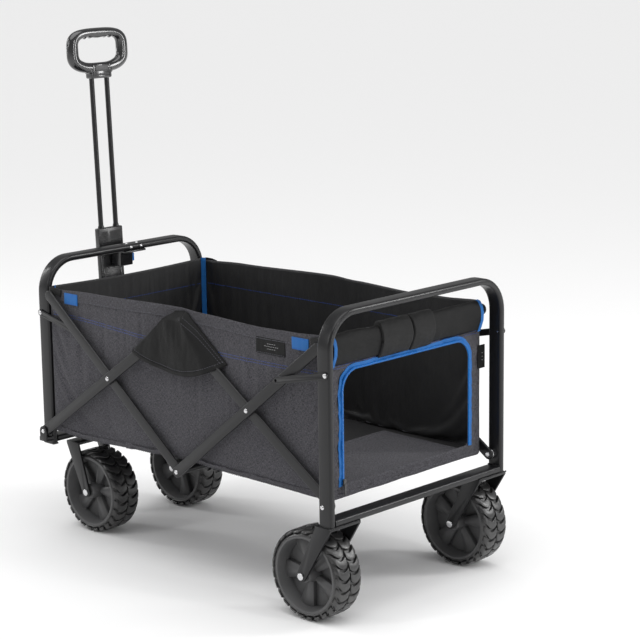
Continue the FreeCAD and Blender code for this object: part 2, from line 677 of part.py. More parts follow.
def fork(name, run, crown_low):
    """Two legs under a crown plate, with the axle at the origin."""
    rise = f"({crown_low}) - tyre_radius"
    legs = [fork_leg(f"{name}_leg_{tag}", run, rise, low, high)
            for tag, low, high in (("in", f"-({LEG_OUT})", f"-({LEG_IN})"), ("out", LEG_IN, LEG_OUT))]
    crown = box(f"{name}_crown", (f"({run}) - fork_top / 2", f"({run}) + fork_top / 2"),
                (f"-({LEG_OUT})", LEG_OUT), (rise, f"{rise} + crown_plate"))
    return legs + [crown]


def axle_bolt(name):
    """A bolt through both legs with a thin head and a nut."""
    shank = rod(f"{name}_shank", "axle_radius", ("0", f"-({LEG_OUT})", "0"), f"2 * ({LEG_OUT})",
                vector(0, 1, 0))
    head = rod(f"{name}_head", "axle_radius + 3", ("0", f"-({LEG_OUT})", "0"), "3",
               vector(0, -1, 0))
    nut = rod(f"{name}_nut", "axle_radius + 3", ("0", LEG_OUT, "0"), "3", vector(0, 1, 0))
    return joined(name, [shank, head, nut])


def wheel(name, label, place):
    finish(tyre(f"Tyre_{name}"), f"tyre_{label}", place)
    finish(hub(f"Hub_{name}"), f"hub_{label}", place)


radius = size("tyre_radius")
crown_low = "rear_bar_z - tube_thick / 2 - crown_plate"
swivel_crown = f"{PLATE_TOP} - 2 * crown_plate - bearing_height"
rear_bolts = []
for word, side in LEFT_RIGHT:
    place = at(size("rear_axle_x"), side * size("rear_wheel_y"), radius)
    wheel(f"rear_{word}", f"rear_{word}", place)
    bolt = axle_bolt(f"Axle_rear_{word}")
    bolt.Placement = place
    rear_bolts.append(bolt)
    finish(joined(f"RearFork_{word}", fork(f"RearFork_{word}", "post_x - rear_axle_x - 3",
                                           crown_low)), f"rear_fork_{word}", place)
    place = at(size("caster_axle_x"), side * size("caster_y"), radius)
    wheel(f"front_{word}", f"front_{word}", place)
    finish(axle_bolt(f"Axle_front_{word}"), f"axle_bolt_front_{word}", place)
    parts = fork(f"CasterFork_{word}", "-caster_trail - 10", swivel_crown)
    stem_x = "-caster_trail"
    bearing = f"{swivel_crown} + crown_plate - tyre_radius"
    parts.append(rod(f"Bearing_{word}", "bearing_radius", (stem_x, "0", bearing),
                     "bearing_height - 0.1", vector(0, 0, 1)))
    parts.append(rod(f"Stem_{word}", "stem_radius", (stem_x, "0", bearing),
                     "bearing_height + crown_plate", vector(0, 0, 1)))
    finish(joined(f"CasterFork_{word}", parts), f"caster_fork_{word}", place)

finish(together("RearBolts", rear_bolts), "rear_axle_bolts")

# ---- fabric tub -----------------------------------------------------------------------------

INSIDE_X, INSIDE_Y = "tub_x - cloth", "tub_y - cloth"
HEIGHT = ("tub_bottom", "tub_top")
for word, side in LEFT_RIGHT:
    finish(box(f"TubSide_{word}", ("-tub_x", "tub_x"), span(side, INSIDE_Y, "tub_y"), HEIGHT),
           f"tub_side_{word}")
finish(box("TubFront", ("-tub_x", f"-({INSIDE_X})"), (f"-({INSIDE_Y})", INSIDE_Y), HEIGHT),
       "tub_front_panel")
finish(box("TubFloor", (f"-({INSIDE_X})", INSIDE_X), (f"-({INSIDE_Y})", INSIDE_Y),
           ("tub_bottom", "tub_bottom + cloth")), "tub_floor")

rear_panel = new_body("TubRear")
sketch = new_sketch(rear_panel, "YZ_Plane", "tub_x - cloth / 2")
rectangle(sketch, f"-({INSIDE_Y})", "tub_bottom", INSIDE_Y, "tub_top")
pad(rear_panel, sketch, "cloth")
sketch = new_sketch(rear_panel, "YZ_Plane", "tub_x - cloth / 2")
rectangle(sketch, "-door_half", "door_low", "door_half", "door_high")
door = cut(rear_panel, sketch)


def door_top_corner(edge):
    middle = edge.CenterOfMass
    return (runs_along(vector(1, 0, 0))(edge) and abs(middle.z - size("door_high")) < 0.01)


round_edges(rear_panel, door, "door_round", door_top_corner)
finish(rear_panel, "tub_rear_panel")

flap_end = "tub_x - cloth - 4"
flap_low = "tub_bottom + cloth + 1"
finish(box("Flap", (f"{flap_end} - flap_length", flap_end), ("-flap_half", "flap_half"),
           (flap_low, f"{flap_low} + flap_thick")), "tailgate_flap")

# ---- pull handle ----------------------------------------------------------------------------

handle_place = at(size("pivot_x"), 0, size("pivot_z"), size("lean"))
HALF_SHEATH, HALF_WIDE = "sheath_thick / 2", "sheath_wide / 2"
FREE_ROD = "rod_radius + running_gap"

blade = box("SheathBlade", (f"-({HALF_SHEATH})", HALF_SHEATH), (f"-({HALF_WIDE})", HALF_WIDE),
            ("0", "sheath_length"))
foot = rod("SheathFoot", HALF_SHEATH, ("0", f"-({HALF_WIDE})", "0"), "sheath_wide",
           vector(0, 1, 0))
bores = [rod(f"RodBore_{word}", FREE_ROD, ("0", f"{side} * rod_half_pitch", "rod_bore_end"),
             "sheath_length - rod_bore_end", vector(0, 0, 1)) for word, side in LEFT_RIGHT]
bores.append(rod("PivotBore", "4 + running_gap", ("0", f"-({HALF_WIDE})", "0"), "sheath_wide",
                 vector(0, 1, 0)))
finish(less("Sheath", joined("SheathSolid", [blade, foot]), joined("SheathBores", bores)),
       "handle_sheath", handle_place)

rod_length = "grip_base + rod_plug - sheath_length + rod_hidden"
rods = [rod(f"Rod_{word}", "rod_radius",
            ("0", f"{side} * rod_half_pitch", "sheath_length - rod_hidden"), rod_length,
            vector(0, 0, 1)) for word, side in LEFT_RIGHT]
finish(together("HandleRods", rods), "handle_rods", handle_place)

grip = new_body("Grip")
ring_low = "grip_base + neck_high - 1"
sketch = new_sketch(grip, "YZ_Plane")
rectangle(sketch, "-grip_wide / 2", ring_low, "grip_wide / 2", f"{ring_low} + grip_high")
ring = pad(grip, sketch, "grip_thick")
ring = round_edges(grip, ring, "grip_high * 0.4", runs_along(vector(1, 0, 0)))
sketch = new_sketch(grip, "YZ_Plane")
rectangle(sketch, "-hand_wide / 2", "grip_base + hand_low", "hand_wide / 2",
          "grip_base + hand_low + hand_high")
hand = cut(grip, sketch)


def hand_corner(edge):
    middle = edge.CenterOfMass
    return (runs_along(vector(1, 0, 0))(edge)
            and abs(abs(middle.y) - size("hand_wide") / 2) < 0.01)


round_edges(grip, hand, "hand_high * 0.4", hand_corner)
sketch = new_sketch(grip, "YZ_Plane")
rectangle(sketch, "-neck_wide / 2", "grip_base", "neck_wide / 2", "grip_base + neck_high + 8")
pad(grip, sketch, "grip_thick")
sketch = new_sketch(grip, "XY_Plane", "grip_base")
circles(sketch, [("0", f"{side} * rod_half_pitch", "rod_radius") for word, side in LEFT_RIGHT])
cut(grip, sketch, "rod_plug", reverse=True)
sketch = new_sketch(grip, "YZ_Plane", "grip_thick / 2")
edge = "button_wide / 2 + sliding_gap"
rectangle(sketch, f"-({edge})", "grip_base + rod_plug + 4 - sliding_gap", edge,
          "grip_base + rod_plug + 4 + button_high + sliding_gap")
cut(grip, sketch, "button_deep + button_travel + 0.5")
finish(grip, "handle_grip", handle_place)

finish(box("GripButton", ("grip_thick / 2 - button_deep", "grip_thick / 2 + 1"),
           ("-button_wide / 2", "button_wide / 2"),
           ("grip_base + rod_plug + 4", "grip_base + rod_plug + 4 + button_high")),
       "grip_button", handle_place)

ear_face = f"{HALF_WIDE} + layer_gap"
ears = [box("HingeBack", (f"{FRONT_EDGE} - 2.5", FRONT_EDGE), (f"-({ear_face}) - 3",
                                                               f"{ear_face} + 3"),
            (f"{PLATE_TOP} + 1", f"{PLATE_TOP} + tube_thick - 1"))]
for word, side in LEFT_RIGHT:
    cheek = span(side, ear_face, f"{ear_face} + 3")
    ears.append(box(f"HingeEar_{word}", ("pivot_x", FRONT_EDGE), cheek,
                    ("pivot_z - 9", "pivot_z + 9")))
    ears.append(across(f"HingeRound_{word}", "9", "pivot_x", "pivot_z", side, ear_face,
                       f"{ear_face} + 3"))
pin_hole = rod("HingeHole", "4", ("pivot_x", f"-({ear_face}) - 3", "pivot_z"),
               f"2 * ({ear_face} + 3)", vector(0, 1, 0))
finish(less("HandleHinge", joined("HingeSolid", ears), pin_hole), "handle_hinge_bracket")

pin = [rod("PinShank", "4", ("pivot_x", f"-({ear_face}) - 3", "pivot_z"),
           f"2 * ({ear_face} + 3)", vector(0, 1, 0))]
for word, side in LEFT_RIGHT:
    pin.append(across(f"PinHead_{word}", "7", "pivot_x", "pivot_z", side, f"{ear_face} + 3",
                      f"{ear_face} + 5"))
finish(joined("HandlePin", pin), "handle_pivot_pin")

# ---- latch ----------------------------------------------------------------------------------

BAR_LOW = "top_bar_z - tube_thick / 2"
LATCH_FRONT = f"{BACK_EDGE} - 20 - latch_deep"
strap = box("LatchStrap", (FRONT_EDGE, BACK_EDGE), ("latch_y", "latch_y + latch_wide + 26"),
            (f"{BAR_LOW} - 5", BAR_LOW))
block = box("LatchBlock", (LATCH_FRONT, f"{LATCH_FRONT} + latch_deep"),
            ("latch_y", "latch_y + latch_wide"), (f"{BAR_LOW} - 5 - latch_high", f"{BAR_LOW} - 5"))
lever_x = f"{LATCH_FRONT} + (latch_deep - lever_wide) / 2"
lever_z = f"{BAR_LOW} - 5 - (latch_high + lever_high) / 2"
lever_y = "latch_y + latch_wide - lever_long / 2"
pocket = box("LeverPocket", (f"{lever_x} - sliding_gap", f"{lever_x} + lever_wide + sliding_gap"),
             (f"{lever_y} - lever_travel - 0.5", "latch_y + latch_wide"),
             (f"{lever_z} - sliding_gap", f"{lever_z} + lever_high + sliding_gap"))
finish(less("LatchBody", joined("LatchSolid", [strap, block]), pocket), "handle_latch_body")
finish(box("LatchLever", (lever_x, f"{lever_x} + lever_wide"), (lever_y, f"{lever_y} + lever_long"),
           (lever_z, f"{lever_z} + lever_high")), "handle_latch_lever")

# ---- check and export -----------------------------------------------------------------------

doc.recompute()
for thing in doc.Objects:
    if "Invalid" in thing.State or "Error" in thing.State:
        raise RuntimeError(f"{thing.Name} failed: {thing.getStatusString()}")
for piece in pieces:
    if piece.Shape.isNull() or not piece.Shape.isValid():
        raise RuntimeError(f"{piece.Label} has no valid shape")

os.makedirs("parts", exist_ok=True)
for piece in pieces:
    piece.Shape.exportStep(f"parts/{piece.Label}.step")
    bounds = piece.Shape.BoundBox
    print(f"{piece.Label:28s} solids {len(piece.Shape.Solids)} volume {piece.Shape.Volume:12.1f}",
          f"x {bounds.XMin:8.2f} {bounds.XMax:8.2f} y {bounds.YMin:8.2f} {bounds.YMax:8.2f}",
          f"z {bounds.ZMin:8.2f} {bounds.ZMax:8.2f}")
print(f"{len(pieces)} pieces")
print(f"foot angle {foot_angle:.4f}, middle angle {mid_angle:.4f}, link angle {link_angle:.4f}")
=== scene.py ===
"""Folding beach cart: the visible pieces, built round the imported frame.

Lengths in the calls below are in millimetres unless a name says otherwise. at() turns a point
measured from the middle of the two end frames into metres in the frame's own axes.
"""

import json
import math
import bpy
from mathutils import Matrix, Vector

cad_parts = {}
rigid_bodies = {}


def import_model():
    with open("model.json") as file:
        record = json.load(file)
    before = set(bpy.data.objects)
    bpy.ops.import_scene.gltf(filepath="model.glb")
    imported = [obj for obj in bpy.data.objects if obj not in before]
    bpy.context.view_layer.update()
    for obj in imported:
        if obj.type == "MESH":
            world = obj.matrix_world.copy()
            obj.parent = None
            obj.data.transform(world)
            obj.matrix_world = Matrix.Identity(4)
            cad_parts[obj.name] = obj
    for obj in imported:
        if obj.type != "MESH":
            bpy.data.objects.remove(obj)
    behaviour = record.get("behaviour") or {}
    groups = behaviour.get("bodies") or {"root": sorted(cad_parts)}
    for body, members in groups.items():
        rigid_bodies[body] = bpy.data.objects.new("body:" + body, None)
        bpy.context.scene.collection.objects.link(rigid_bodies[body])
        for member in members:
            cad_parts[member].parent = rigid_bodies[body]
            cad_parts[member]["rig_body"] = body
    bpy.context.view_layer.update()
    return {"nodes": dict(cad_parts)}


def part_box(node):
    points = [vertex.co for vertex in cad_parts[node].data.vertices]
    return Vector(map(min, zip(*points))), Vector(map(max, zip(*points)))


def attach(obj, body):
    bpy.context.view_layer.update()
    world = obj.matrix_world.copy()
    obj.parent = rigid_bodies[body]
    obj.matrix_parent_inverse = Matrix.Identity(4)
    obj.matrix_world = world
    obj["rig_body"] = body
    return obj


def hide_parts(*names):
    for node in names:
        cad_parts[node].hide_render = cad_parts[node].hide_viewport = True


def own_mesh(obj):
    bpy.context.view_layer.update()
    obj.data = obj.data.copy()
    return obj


bl_info = {
    "name": "Folding Beach Cart",
    "version": (1, 0, 0),
    "blender": (4, 5, 0),
    "location": "View3D > Sidebar > Cart",
    "description": "Builds the visible pieces of a folding beach cart round its frame",
    "category": "Object",
}

import bmesh
import bpy
from bpy.props import FloatProperty, FloatVectorProperty, IntProperty, PointerProperty
from bpy.types import Operator, Panel, PropertyGroup
from mathutils import Matrix, Vector, noise
from mathutils.bvhtree import BVHTree

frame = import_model()

MID = (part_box("front_frame_tube")[0].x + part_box("rear_frame_tube")[1].x) / 2
SIDES = (("left", -1), ("right", 1))
X, Y, Z = Vector((1, 0, 0)), Vector((0, 1, 0)), Vector((0, 0, 1))


# ---- sizes and colours a user would change ---------------------------------------------------

def length(name, description, default):
    return FloatProperty(name=name, description=description, default=default, min=0.0,
                         subtype="DISTANCE", unit="LENGTH", precision=4)


def colour(name, description, default):
    return FloatVectorProperty(name=name, description=description, default=default,
                               subtype="COLOR", size=3, min=0.0, max=1.0)


class CartSizes(PropertyGroup):
    """Sizes of the details that the frame does not fix."""

    tube_round: length("Tube rounding", "Radius of the end frames' tube edges", 0.0055)
    strut_round: length("Strut rounding", "Radius of the struts' edges", 0.0028)
    lug_height: length("Lug height", "Depth of the grooves in the tyre tread", 0.006)
    lug_count: IntProperty(name="Lugs", description="Tread blocks on each shoulder",
                           default=25, min=8, max=60)
    cloth_thick: length("Cloth thickness", "Thickness of the tub's cloth", 0.0024)
    cloth_slack: FloatProperty(name="Cloth slack", description="How much larger than its frame "
                               "each tub panel is cut", default=0.011, min=0.0, max=0.1)
    stitch_pitch: length("Stitch pitch", "Distance from one stitch to the next", 0.0062)
    stitch_long: length("Stitch length", "Length of thread seen in each stitch", 0.0045)
    thread: length("Thread", "Diameter of the sewing thread", 0.0013)


class CartColours(PropertyGroup):
    """Colours of the finishes."""

    powder: colour("Powder coat", "Frame tubes, struts and forks", (0.0095, 0.0095, 0.0105))
    steel: colour("Rivets", "Plated rivets and bolts", (0.66, 0.66, 0.67))
    tyre: colour("Tyre", "Tyre rubber", (0.013, 0.013, 0.014))
    hub: colour("Hub", "Moulded wheel plastic", (0.078, 0.078, 0.080))
    plastic: colour("Plastic", "Handle and fittings", (0.013, 0.013, 0.014))
    charcoal: colour("Charcoal cloth", "Outside of the tub", (0.034, 0.033, 0.038))
    lining: colour("Lining", "Inside of the tub", (0.012, 0.012, 0.013))
    black: colour("Black cloth", "Rolled band and side gussets", (0.0055, 0.0055, 0.0057))
    blue: colour("Blue", "Zip tape, tabs and binding", (0.009, 0.185, 0.60))
    thread: colour("Thread", "Coloured stitching", (0.018, 0.080, 0.42))
    floor: colour("Floor", "Studio floor", (0.93, 0.93, 0.93))


def sizes():
    return bpy.context.scene.cart_sizes


def colours():
    return bpy.context.scene.cart_colours


# ---- placing and finishing -------------------------------------------------------------------

def at(x, y, z):
    """A point in millimetres from the middle of the end frames, as metres in the frame."""
    return Vector((MID + x / 1000, y / 1000, z / 1000))


def finished(name, shape, finish, body, nodes=(), sharp=35):
    """A finished object from a bmesh: smooth shaded, painted, riding on its body."""
    mesh = bpy.data.meshes.new(name)
    shape.to_mesh(mesh)
    shape.free()
    mesh.shade_smooth()
    mesh.set_sharp_from_angle(angle=math.radians(sharp))
    for material in finish if isinstance(finish, (list, tuple)) else [finish]:
        mesh.materials.append(material)
    thing = bpy.data.objects.new(name, mesh)
    bpy.context.scene.collection.objects.link(thing)
    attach(thing, body)
    if nodes:
        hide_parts(*nodes)
    return thing


soft_pieces = []


def soft(thing):
    """Marks a piece of the tub as soft, so that it gets its own mesh once everything is built."""
    soft_pieces.append(thing)
    return thing


def body_of(node):
    return frame["nodes"][node]["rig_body"]


def rounded(shape, width, steps=2, corner=28):
    """Rounds every edge of a shape that is sharper than the corner angle."""
    edges = [e for e in shape.edges if len(e.link_faces) == 2
             and e.calc_face_angle(0) > math.radians(corner)]
    bmesh.ops.bevel(shape, geom=edges, offset=width / 1000, offset_type="OFFSET", segments=steps,
                    profile=0.5, affect="EDGES", clamp_overlap=True, material=-1)
    return shape


def softened(node, finish, width, steps=2, name=None):
    """A copy of a frame node with its sharp edges eased, which stands for that node."""
    shape = bmesh.new()
    shape.from_mesh(frame["nodes"][node].data)
    bmesh.ops.remove_doubles(shape, verts=shape.verts, dist=2e-6)
    bmesh.ops.dissolve_limit(shape, angle_limit=math.radians(1.0), verts=shape.verts,
                             edges=shape.edges, use_dissolve_boundaries=False)
    rounded(shape, width, steps)
    return finished(name or f"{node}_eased", shape, finish, body_of(node), [node])


def block(shape, low, high, width=0.0, steps=3, turn=None):
    """Adds a box with rounded edges between two corners given in millimetres."""
    part = bmesh.new()
    bmesh.ops.create_cube(part, size=1.0)
    size = [(b - a) / 1000 for a, b in zip(low, high)]
    middle = at(*[(a + b) / 2 for a, b in zip(low, high)])
    bmesh.ops.scale(part, vec=size, verts=part.verts)
    if width:
        rounded(part, width, steps)
    if turn:
        bmesh.ops.transform(part, matrix=turn, verts=part.verts)
    bmesh.ops.translate(part, vec=middle, verts=part.verts)
    return added(shape, part)


def added(shape, part):
    """Moves all of one bmesh into another."""
    spare = bpy.data.meshes.new("spare")
    part.to_mesh(spare)
    part.free()
    shape.from_mesh(spare)
    bpy.data.meshes.remove(spare)
    return shape


def section(shape, corners, round_by, steps=4):
    """A closed loop of edges: a polygon with rounded corners, given in metres."""
    verts = [shape.verts.new(c) for c in corners]
    shape.faces.new(verts)
    bmesh.ops.bevel(shape, geom=verts, offset=round_by, offset_type="OFFSET", segments=steps,
                    profile=0.5, affect="VERTICES", material=-1)
    edges = [e for e in shape.edges if len(e.link_faces) == 1]
    bmesh.ops.delete(shape, geom=shape.faces[:], context="FACES_ONLY")
    return edges


def run(shape, edges, along):
    """Draws a loop of edges out along a straight line and gives the new loop."""
    made = bmesh.ops.extrude_edge_only(shape, edges=edges)["geom"]
    verts = [g for g in made if isinstance(g, bmesh.types.BMVert)]
    bmesh.ops.translate(shape, vec=along, verts=verts)
    return [g for g in made if isinstance(g, bmesh.types.BMEdge) and all(v in verts for v in g.verts)]


def bend(shape, edges, centre, axis, degrees, steps=12):
    """Draws a loop of edges round an arc and gives the last loop."""
    made = bmesh.ops.spin(shape, geom=edges, cent=centre, axis=axis, dvec=(0, 0, 0),
                          angle=math.radians(degrees), steps=steps, use_duplicate=False)
    return [g for g in made["geom_last"] if isinstance(g, bmesh.types.BMEdge)]


def closed(shape, *loops):
    """Caps the open ends and points every face outwards."""
    for loop in loops:
        bmesh.ops.contextual_create(shape, geom=loop)
    bmesh.ops.remove_doubles(shape, verts=shape.verts, dist=1e-6)
    bmesh.ops.recalc_face_normals(shape, faces=shape.faces)
    return shape


def turned(shape, profile, axis_start, axis, steps=64):
    """Spins a closed profile of metre points all the way round an axis."""
    verts = [shape.verts.new(p) for p in profile]
    edges = [shape.edges.new((a, b)) for a, b in zip(verts, verts[1:] + verts[:1])]
    bmesh.ops.spin(shape, geom=verts + edges, cent=axis_start, axis=axis, dvec=(0, 0, 0),
                   angle=2 * math.pi, steps=steps, use_merge=True, use_duplicate=False)
    bmesh.ops.remove_doubles(shape, verts=shape.verts, dist=1e-6)
    bmesh.ops.recalc_face_normals(shape, faces=shape.faces)
    return shape


# ---- shader nodes ----------------------------------------------------------------------------

def node(tree, kind, inputs=None, **settings):
    """Adds a node, sets its properties and joins or fills its inputs."""
    made = tree.nodes.new(kind)
    for key, value in settings.items():
        setattr(made, key, value)
    for key, value in (inputs or {}).items():
        if isinstance(value, bpy.types.NodeSocket):
            tree.links.new(value, made.inputs[key])
        else:
            made.inputs[key].default_value = value
    return made


def math_node(tree, operation, a, b=0.0, clamp=False):
    return node(tree, "ShaderNodeMath", {0: a, 1: b}, operation=operation,
                use_clamp=clamp).outputs[0]


def mixed(tree, factor, a, b):
    mix = node(tree, "ShaderNodeMix", {0: factor, 6: a, 7: b}, data_type="RGBA")
    return mix.outputs[2]


def new_group(name, inputs, outputs):
    """A shader node group with typed inputs (name, kind, default) and outputs (name, kind)."""
    tree = bpy.data.node_groups.new(name, "ShaderNodeTree")
    for label, kind, default in inputs:
        socket = tree.interface.new_socket(name=label, in_out="INPUT", socket_type=kind)
        if default is not None:
            socket.default_value = default
    for label, kind in outputs:
        tree.interface.new_socket(name=label, in_out="OUTPUT", socket_type=kind)
    return tree, tree.nodes.new("NodeGroupInput"), tree.nodes.new("NodeGroupOutput")


FLOAT, VECTOR, COLOUR = "NodeSocketFloat", "NodeSocketVector", "NodeSocketColor"


def grain_group():
    """Fine pits, broad clouds and scuffs that any hard surface shares."""
    tree, given, out = new_group("Surface Grain", [
        ("Position", VECTOR, None), ("Grains", FLOAT, 900.0), ("Roughness", FLOAT, 0.4),
        ("Vary", FLOAT, 0.1), ("Scuffs", FLOAT, 0.2), ("Colour", COLOUR, (0.1, 0.1, 0.1, 1)),
        ("Scuff Colour", COLOUR, (0.2, 0.2, 0.2, 1))],
        [("Height", FLOAT), ("Roughness", FLOAT), ("Colour", COLOUR)])
    place = given.outputs["Position"]
    fine = node(tree, "ShaderNodeTexNoise", {"Vector": place, "Scale": given.outputs["Grains"],
                                             "Detail": 2.0})
    cloud = node(tree, "ShaderNodeTexNoise", {"Vector": place, "Scale": 14.0, "Detail": 4.0})
    scratch = node(tree, "ShaderNodeTexNoise", {"Vector": place, "Scale": 60.0, "Detail": 6.0,
                                                "Roughness": 0.75, "Distortion": 0.6})
    swing = math_node(tree, "SUBTRACT", cloud.outputs["Fac"], 0.5)
    swing = math_node(tree, "MULTIPLY", swing, given.outputs["Vary"])
    rough = math_node(tree, "ADD", given.outputs["Roughness"], swing, clamp=True)
    ramp = node(tree, "ShaderNodeMapRange", {"Value": scratch.outputs["Fac"], "From Min": 0.56,
                                             "From Max": 0.72, "To Min": 0.0, "To Max": 1.0})
    scuff = math_node(tree, "MULTIPLY", ramp.outputs[0], given.outputs["Scuffs"])
    tone = mixed(tree, scuff, given.outputs["Colour"], given.outputs["Scuff Colour"])
    tree.links.new(fine.outputs["Fac"], out.inputs["Height"])
    tree.links.new(rough, out.inputs["Roughness"])
    tree.links.new(tone, out.inputs["Colour"])
    return tree


def weave_group():
    """Plain weave with slubby two-tone yarns, read from a sheet's own UV map in metres."""
    tree, given, out = new_group("Woven Cloth", [
        ("Sheet", VECTOR, None), ("Yarns", FLOAT, 900.0), ("Base", COLOUR, (0.1, 0.1, 0.1, 1)),
        ("Fleck", COLOUR, (0.2, 0.2, 0.2, 1)), ("Heather", FLOAT, 0.6)],
        [("Height", FLOAT), ("Colour", COLOUR)])
    sheet = given.outputs["Sheet"]
    split = node(tree, "ShaderNodeSeparateXYZ", {0: sheet})
    across = math_node(tree, "MULTIPLY", split.outputs[0], given.outputs["Yarns"])
    along = math_node(tree, "MULTIPLY", split.outputs[1], given.outputs["Yarns"])
    warp = math_node(tree, "PINGPONG", across, 0.5)
    weft = math_node(tree, "PINGPONG", along, 0.5)
    lattice = node(tree, "ShaderNodeCombineXYZ", {0: across, 1: along, 2: 0.25})
    over = node(tree, "ShaderNodeTexChecker", {"Vector": lattice.outputs[0], "Scale": 1.0})
    height = node(tree, "ShaderNodeMix", {0: over.outputs["Fac"], 2: warp, 3: weft})
    streaks = []
    for stretch in ((140.0, 900.0, 1.0), (900.0, 140.0, 1.0)):
        slub = node(tree, "ShaderNodeMapping", {"Vector": sheet, "Scale": stretch})
        streaks.append(node(tree, "ShaderNodeTexNoise", {"Vector": slub.outputs[0], "Scale": 1.0,
                                                         "Detail": 2.0}).outputs["Fac"])
    yarn = node(tree, "ShaderNodeMix", {0: over.outputs["Fac"], 2: streaks[0], 3: streaks[1]})
    fleck = node(tree, "ShaderNodeMapRange", {"Value": yarn.outputs[0], "From Min": 0.38,
                                              "From Max": 0.66})
    share = math_node(tree, "MULTIPLY", fleck.outputs[0], given.outputs["Heather"])
    tone = mixed(tree, share, given.outputs["Base"], given.outputs["Fleck"])
    tree.links.new(height.outputs[0], out.inputs["Height"])
    tree.links.new(tone, out.inputs["Colour"])
    return tree


def dust_group():
    """A thin, patchy film of pale dust over a colour."""
    tree, given, out = new_group("Dust Film", [
        ("Position", VECTOR, None), ("Colour", COLOUR, (0.1, 0.1, 0.1, 1)),
        ("Dust", COLOUR, (0.3, 0.29, 0.27, 1)), ("Amount", FLOAT, 0.1)], [("Colour", COLOUR)])
    patch = node(tree, "ShaderNodeTexNoise", {"Vector": given.outputs["Position"],
                                              "Scale": 22.0, "Detail": 8.0, "Roughness": 0.65})
    film = node(tree, "ShaderNodeMapRange", {"Value": patch.outputs["Fac"], "From Min": 0.35,
                                             "From Max": 0.75})
    share = math_node(tree, "MULTIPLY", film.outputs[0], given.outputs["Amount"])
    tree.links.new(mixed(tree, share, given.outputs["Colour"], given.outputs["Dust"]),
                   out.inputs["Colour"])
    return tree


groups = {}


def use(tree, name, inputs):
    """Places one of the shared groups in a material."""
    if name not in groups:
        groups[name] = {"grain": grain_group, "weave": weave_group, "dust": dust_group}[name]()
    return node(tree, "ShaderNodeGroup", inputs, node_tree=groups[name])


def blank(name, tone, roughness, **uniform):
    """A material with one Principled shader and its uniform values, and its tree."""
    material = bpy.data.materials.new(name)
    material.use_nodes = True
    shader = material.node_tree.nodes["Principled BSDF"]
    shader.inputs["Base Color"].default_value = (*tone, 1)
    shader.inputs["Roughness"].default_value = roughness
    for key, value in uniform.items():
        shader.inputs[key.replace("_", " ")].default_value = value
    return material, material.node_tree, shader


def bumped(tree, shader, height, distance, strength=1.0):
    bump = node(tree, "ShaderNodeBump", {"Height": height, "Distance": distance,
                                         "Strength": strength})
    tree.links.new(bump.outputs[0], shader.inputs["Normal"])


def hard_finish(name, tone, roughness, grains, depth, vary=0.12, scuffs=0.15, scuff=None,
                dust=0.0, **uniform):
    """A moulded, painted or plated surface."""
    material, tree, shader = blank(name, tone, roughness, **uniform)
    place = node(tree, "ShaderNodeTexCoord").outputs["Object"]
    worn = scuff or tuple(min(1.0, c * 2.2 + 0.02) for c in tone)
    grain = use(tree, "grain", {"Position": place, "Grains": grains, "Roughness": roughness,
                                "Vary": vary, "Scuffs": scuffs, "Colour": (*tone, 1),
                                "Scuff Colour": (*worn, 1)})
    tint = grain.outputs["Colour"]
    if dust:
        film = use(tree, "dust", {"Position": place, "Colour": tint, "Amount": dust})
        tint = film.outputs["Colour"]
    tree.links.new(tint, shader.inputs["Base Color"])
    tree.links.new(grain.outputs["Roughness"], shader.inputs["Roughness"])
    bumped(tree, shader, grain.outputs["Height"], depth)
    return material


def cloth_finish(name, tone, fleck, yarns, heather, roughness=0.85, depth=0.00025, dust=0.0,
                 **uniform):
    """Woven cloth on a piece that carries its own UV map in metres."""
    material, tree, shader = blank(name, tone, roughness, **uniform)
    sheet = node(tree, "ShaderNodeTexCoord").outputs["UV"]
    weave = use(tree, "weave", {"Sheet": sheet, "Yarns": yarns, "Base": (*tone, 1),
                                "Fleck": (*fleck, 1), "Heather": heather})
    tint = weave.outputs["Colour"]
    if dust:
        film = use(tree, "dust", {"Position": node(tree, "ShaderNodeTexCoord").outputs["Object"],
                                  "Colour": tint, "Amount": dust})
        tint = film.outputs["Colour"]
    tree.links.new(tint, shader.inputs["Base Color"])
    bumped(tree, shader, weave.outputs["Height"], depth)
    return material


def webbing_finish(name, tone, sheen, rib=700.0):
    """Ribbed woven tape, its ribs across the tape's UV length, with painted shade in the grooves between the
    ribs.
    """
    material, tree, shader = blank(name, tone, 0.6, Sheen_Weight=sheen, Sheen_Roughness=0.5,
                                   Specular_IOR_Level=0.3)
    split = node(tree, "ShaderNodeSeparateXYZ",
                 {0: node(tree, "ShaderNodeTexCoord").outputs["UV"]})
    ribs = math_node(tree, "PINGPONG", math_node(tree, "MULTIPLY", split.outputs[0], rib), 0.5)
    lines = math_node(tree, "PINGPONG", math_node(tree, "MULTIPLY", split.outputs[1], 500), 0.5)
    height = math_node(tree, "ADD", ribs, math_node(tree, "MULTIPLY", lines, 0.5))
    # painted shade: the low parts of the ribs are coloured darker, as if in shadow
    dark = tuple(c * 0.55 for c in tone)
    groove_shade_share = math_node(tree, "MULTIPLY", height, 1.6, clamp=True)
    tree.links.new(mixed(tree, groove_shade_share, (*dark, 1), (*tone, 1)), shader.inputs["Base Color"])
    bumped(tree, shader, height, 0.0004)
    return material


finishes = {}  # every finish by its short name, filled by paint()


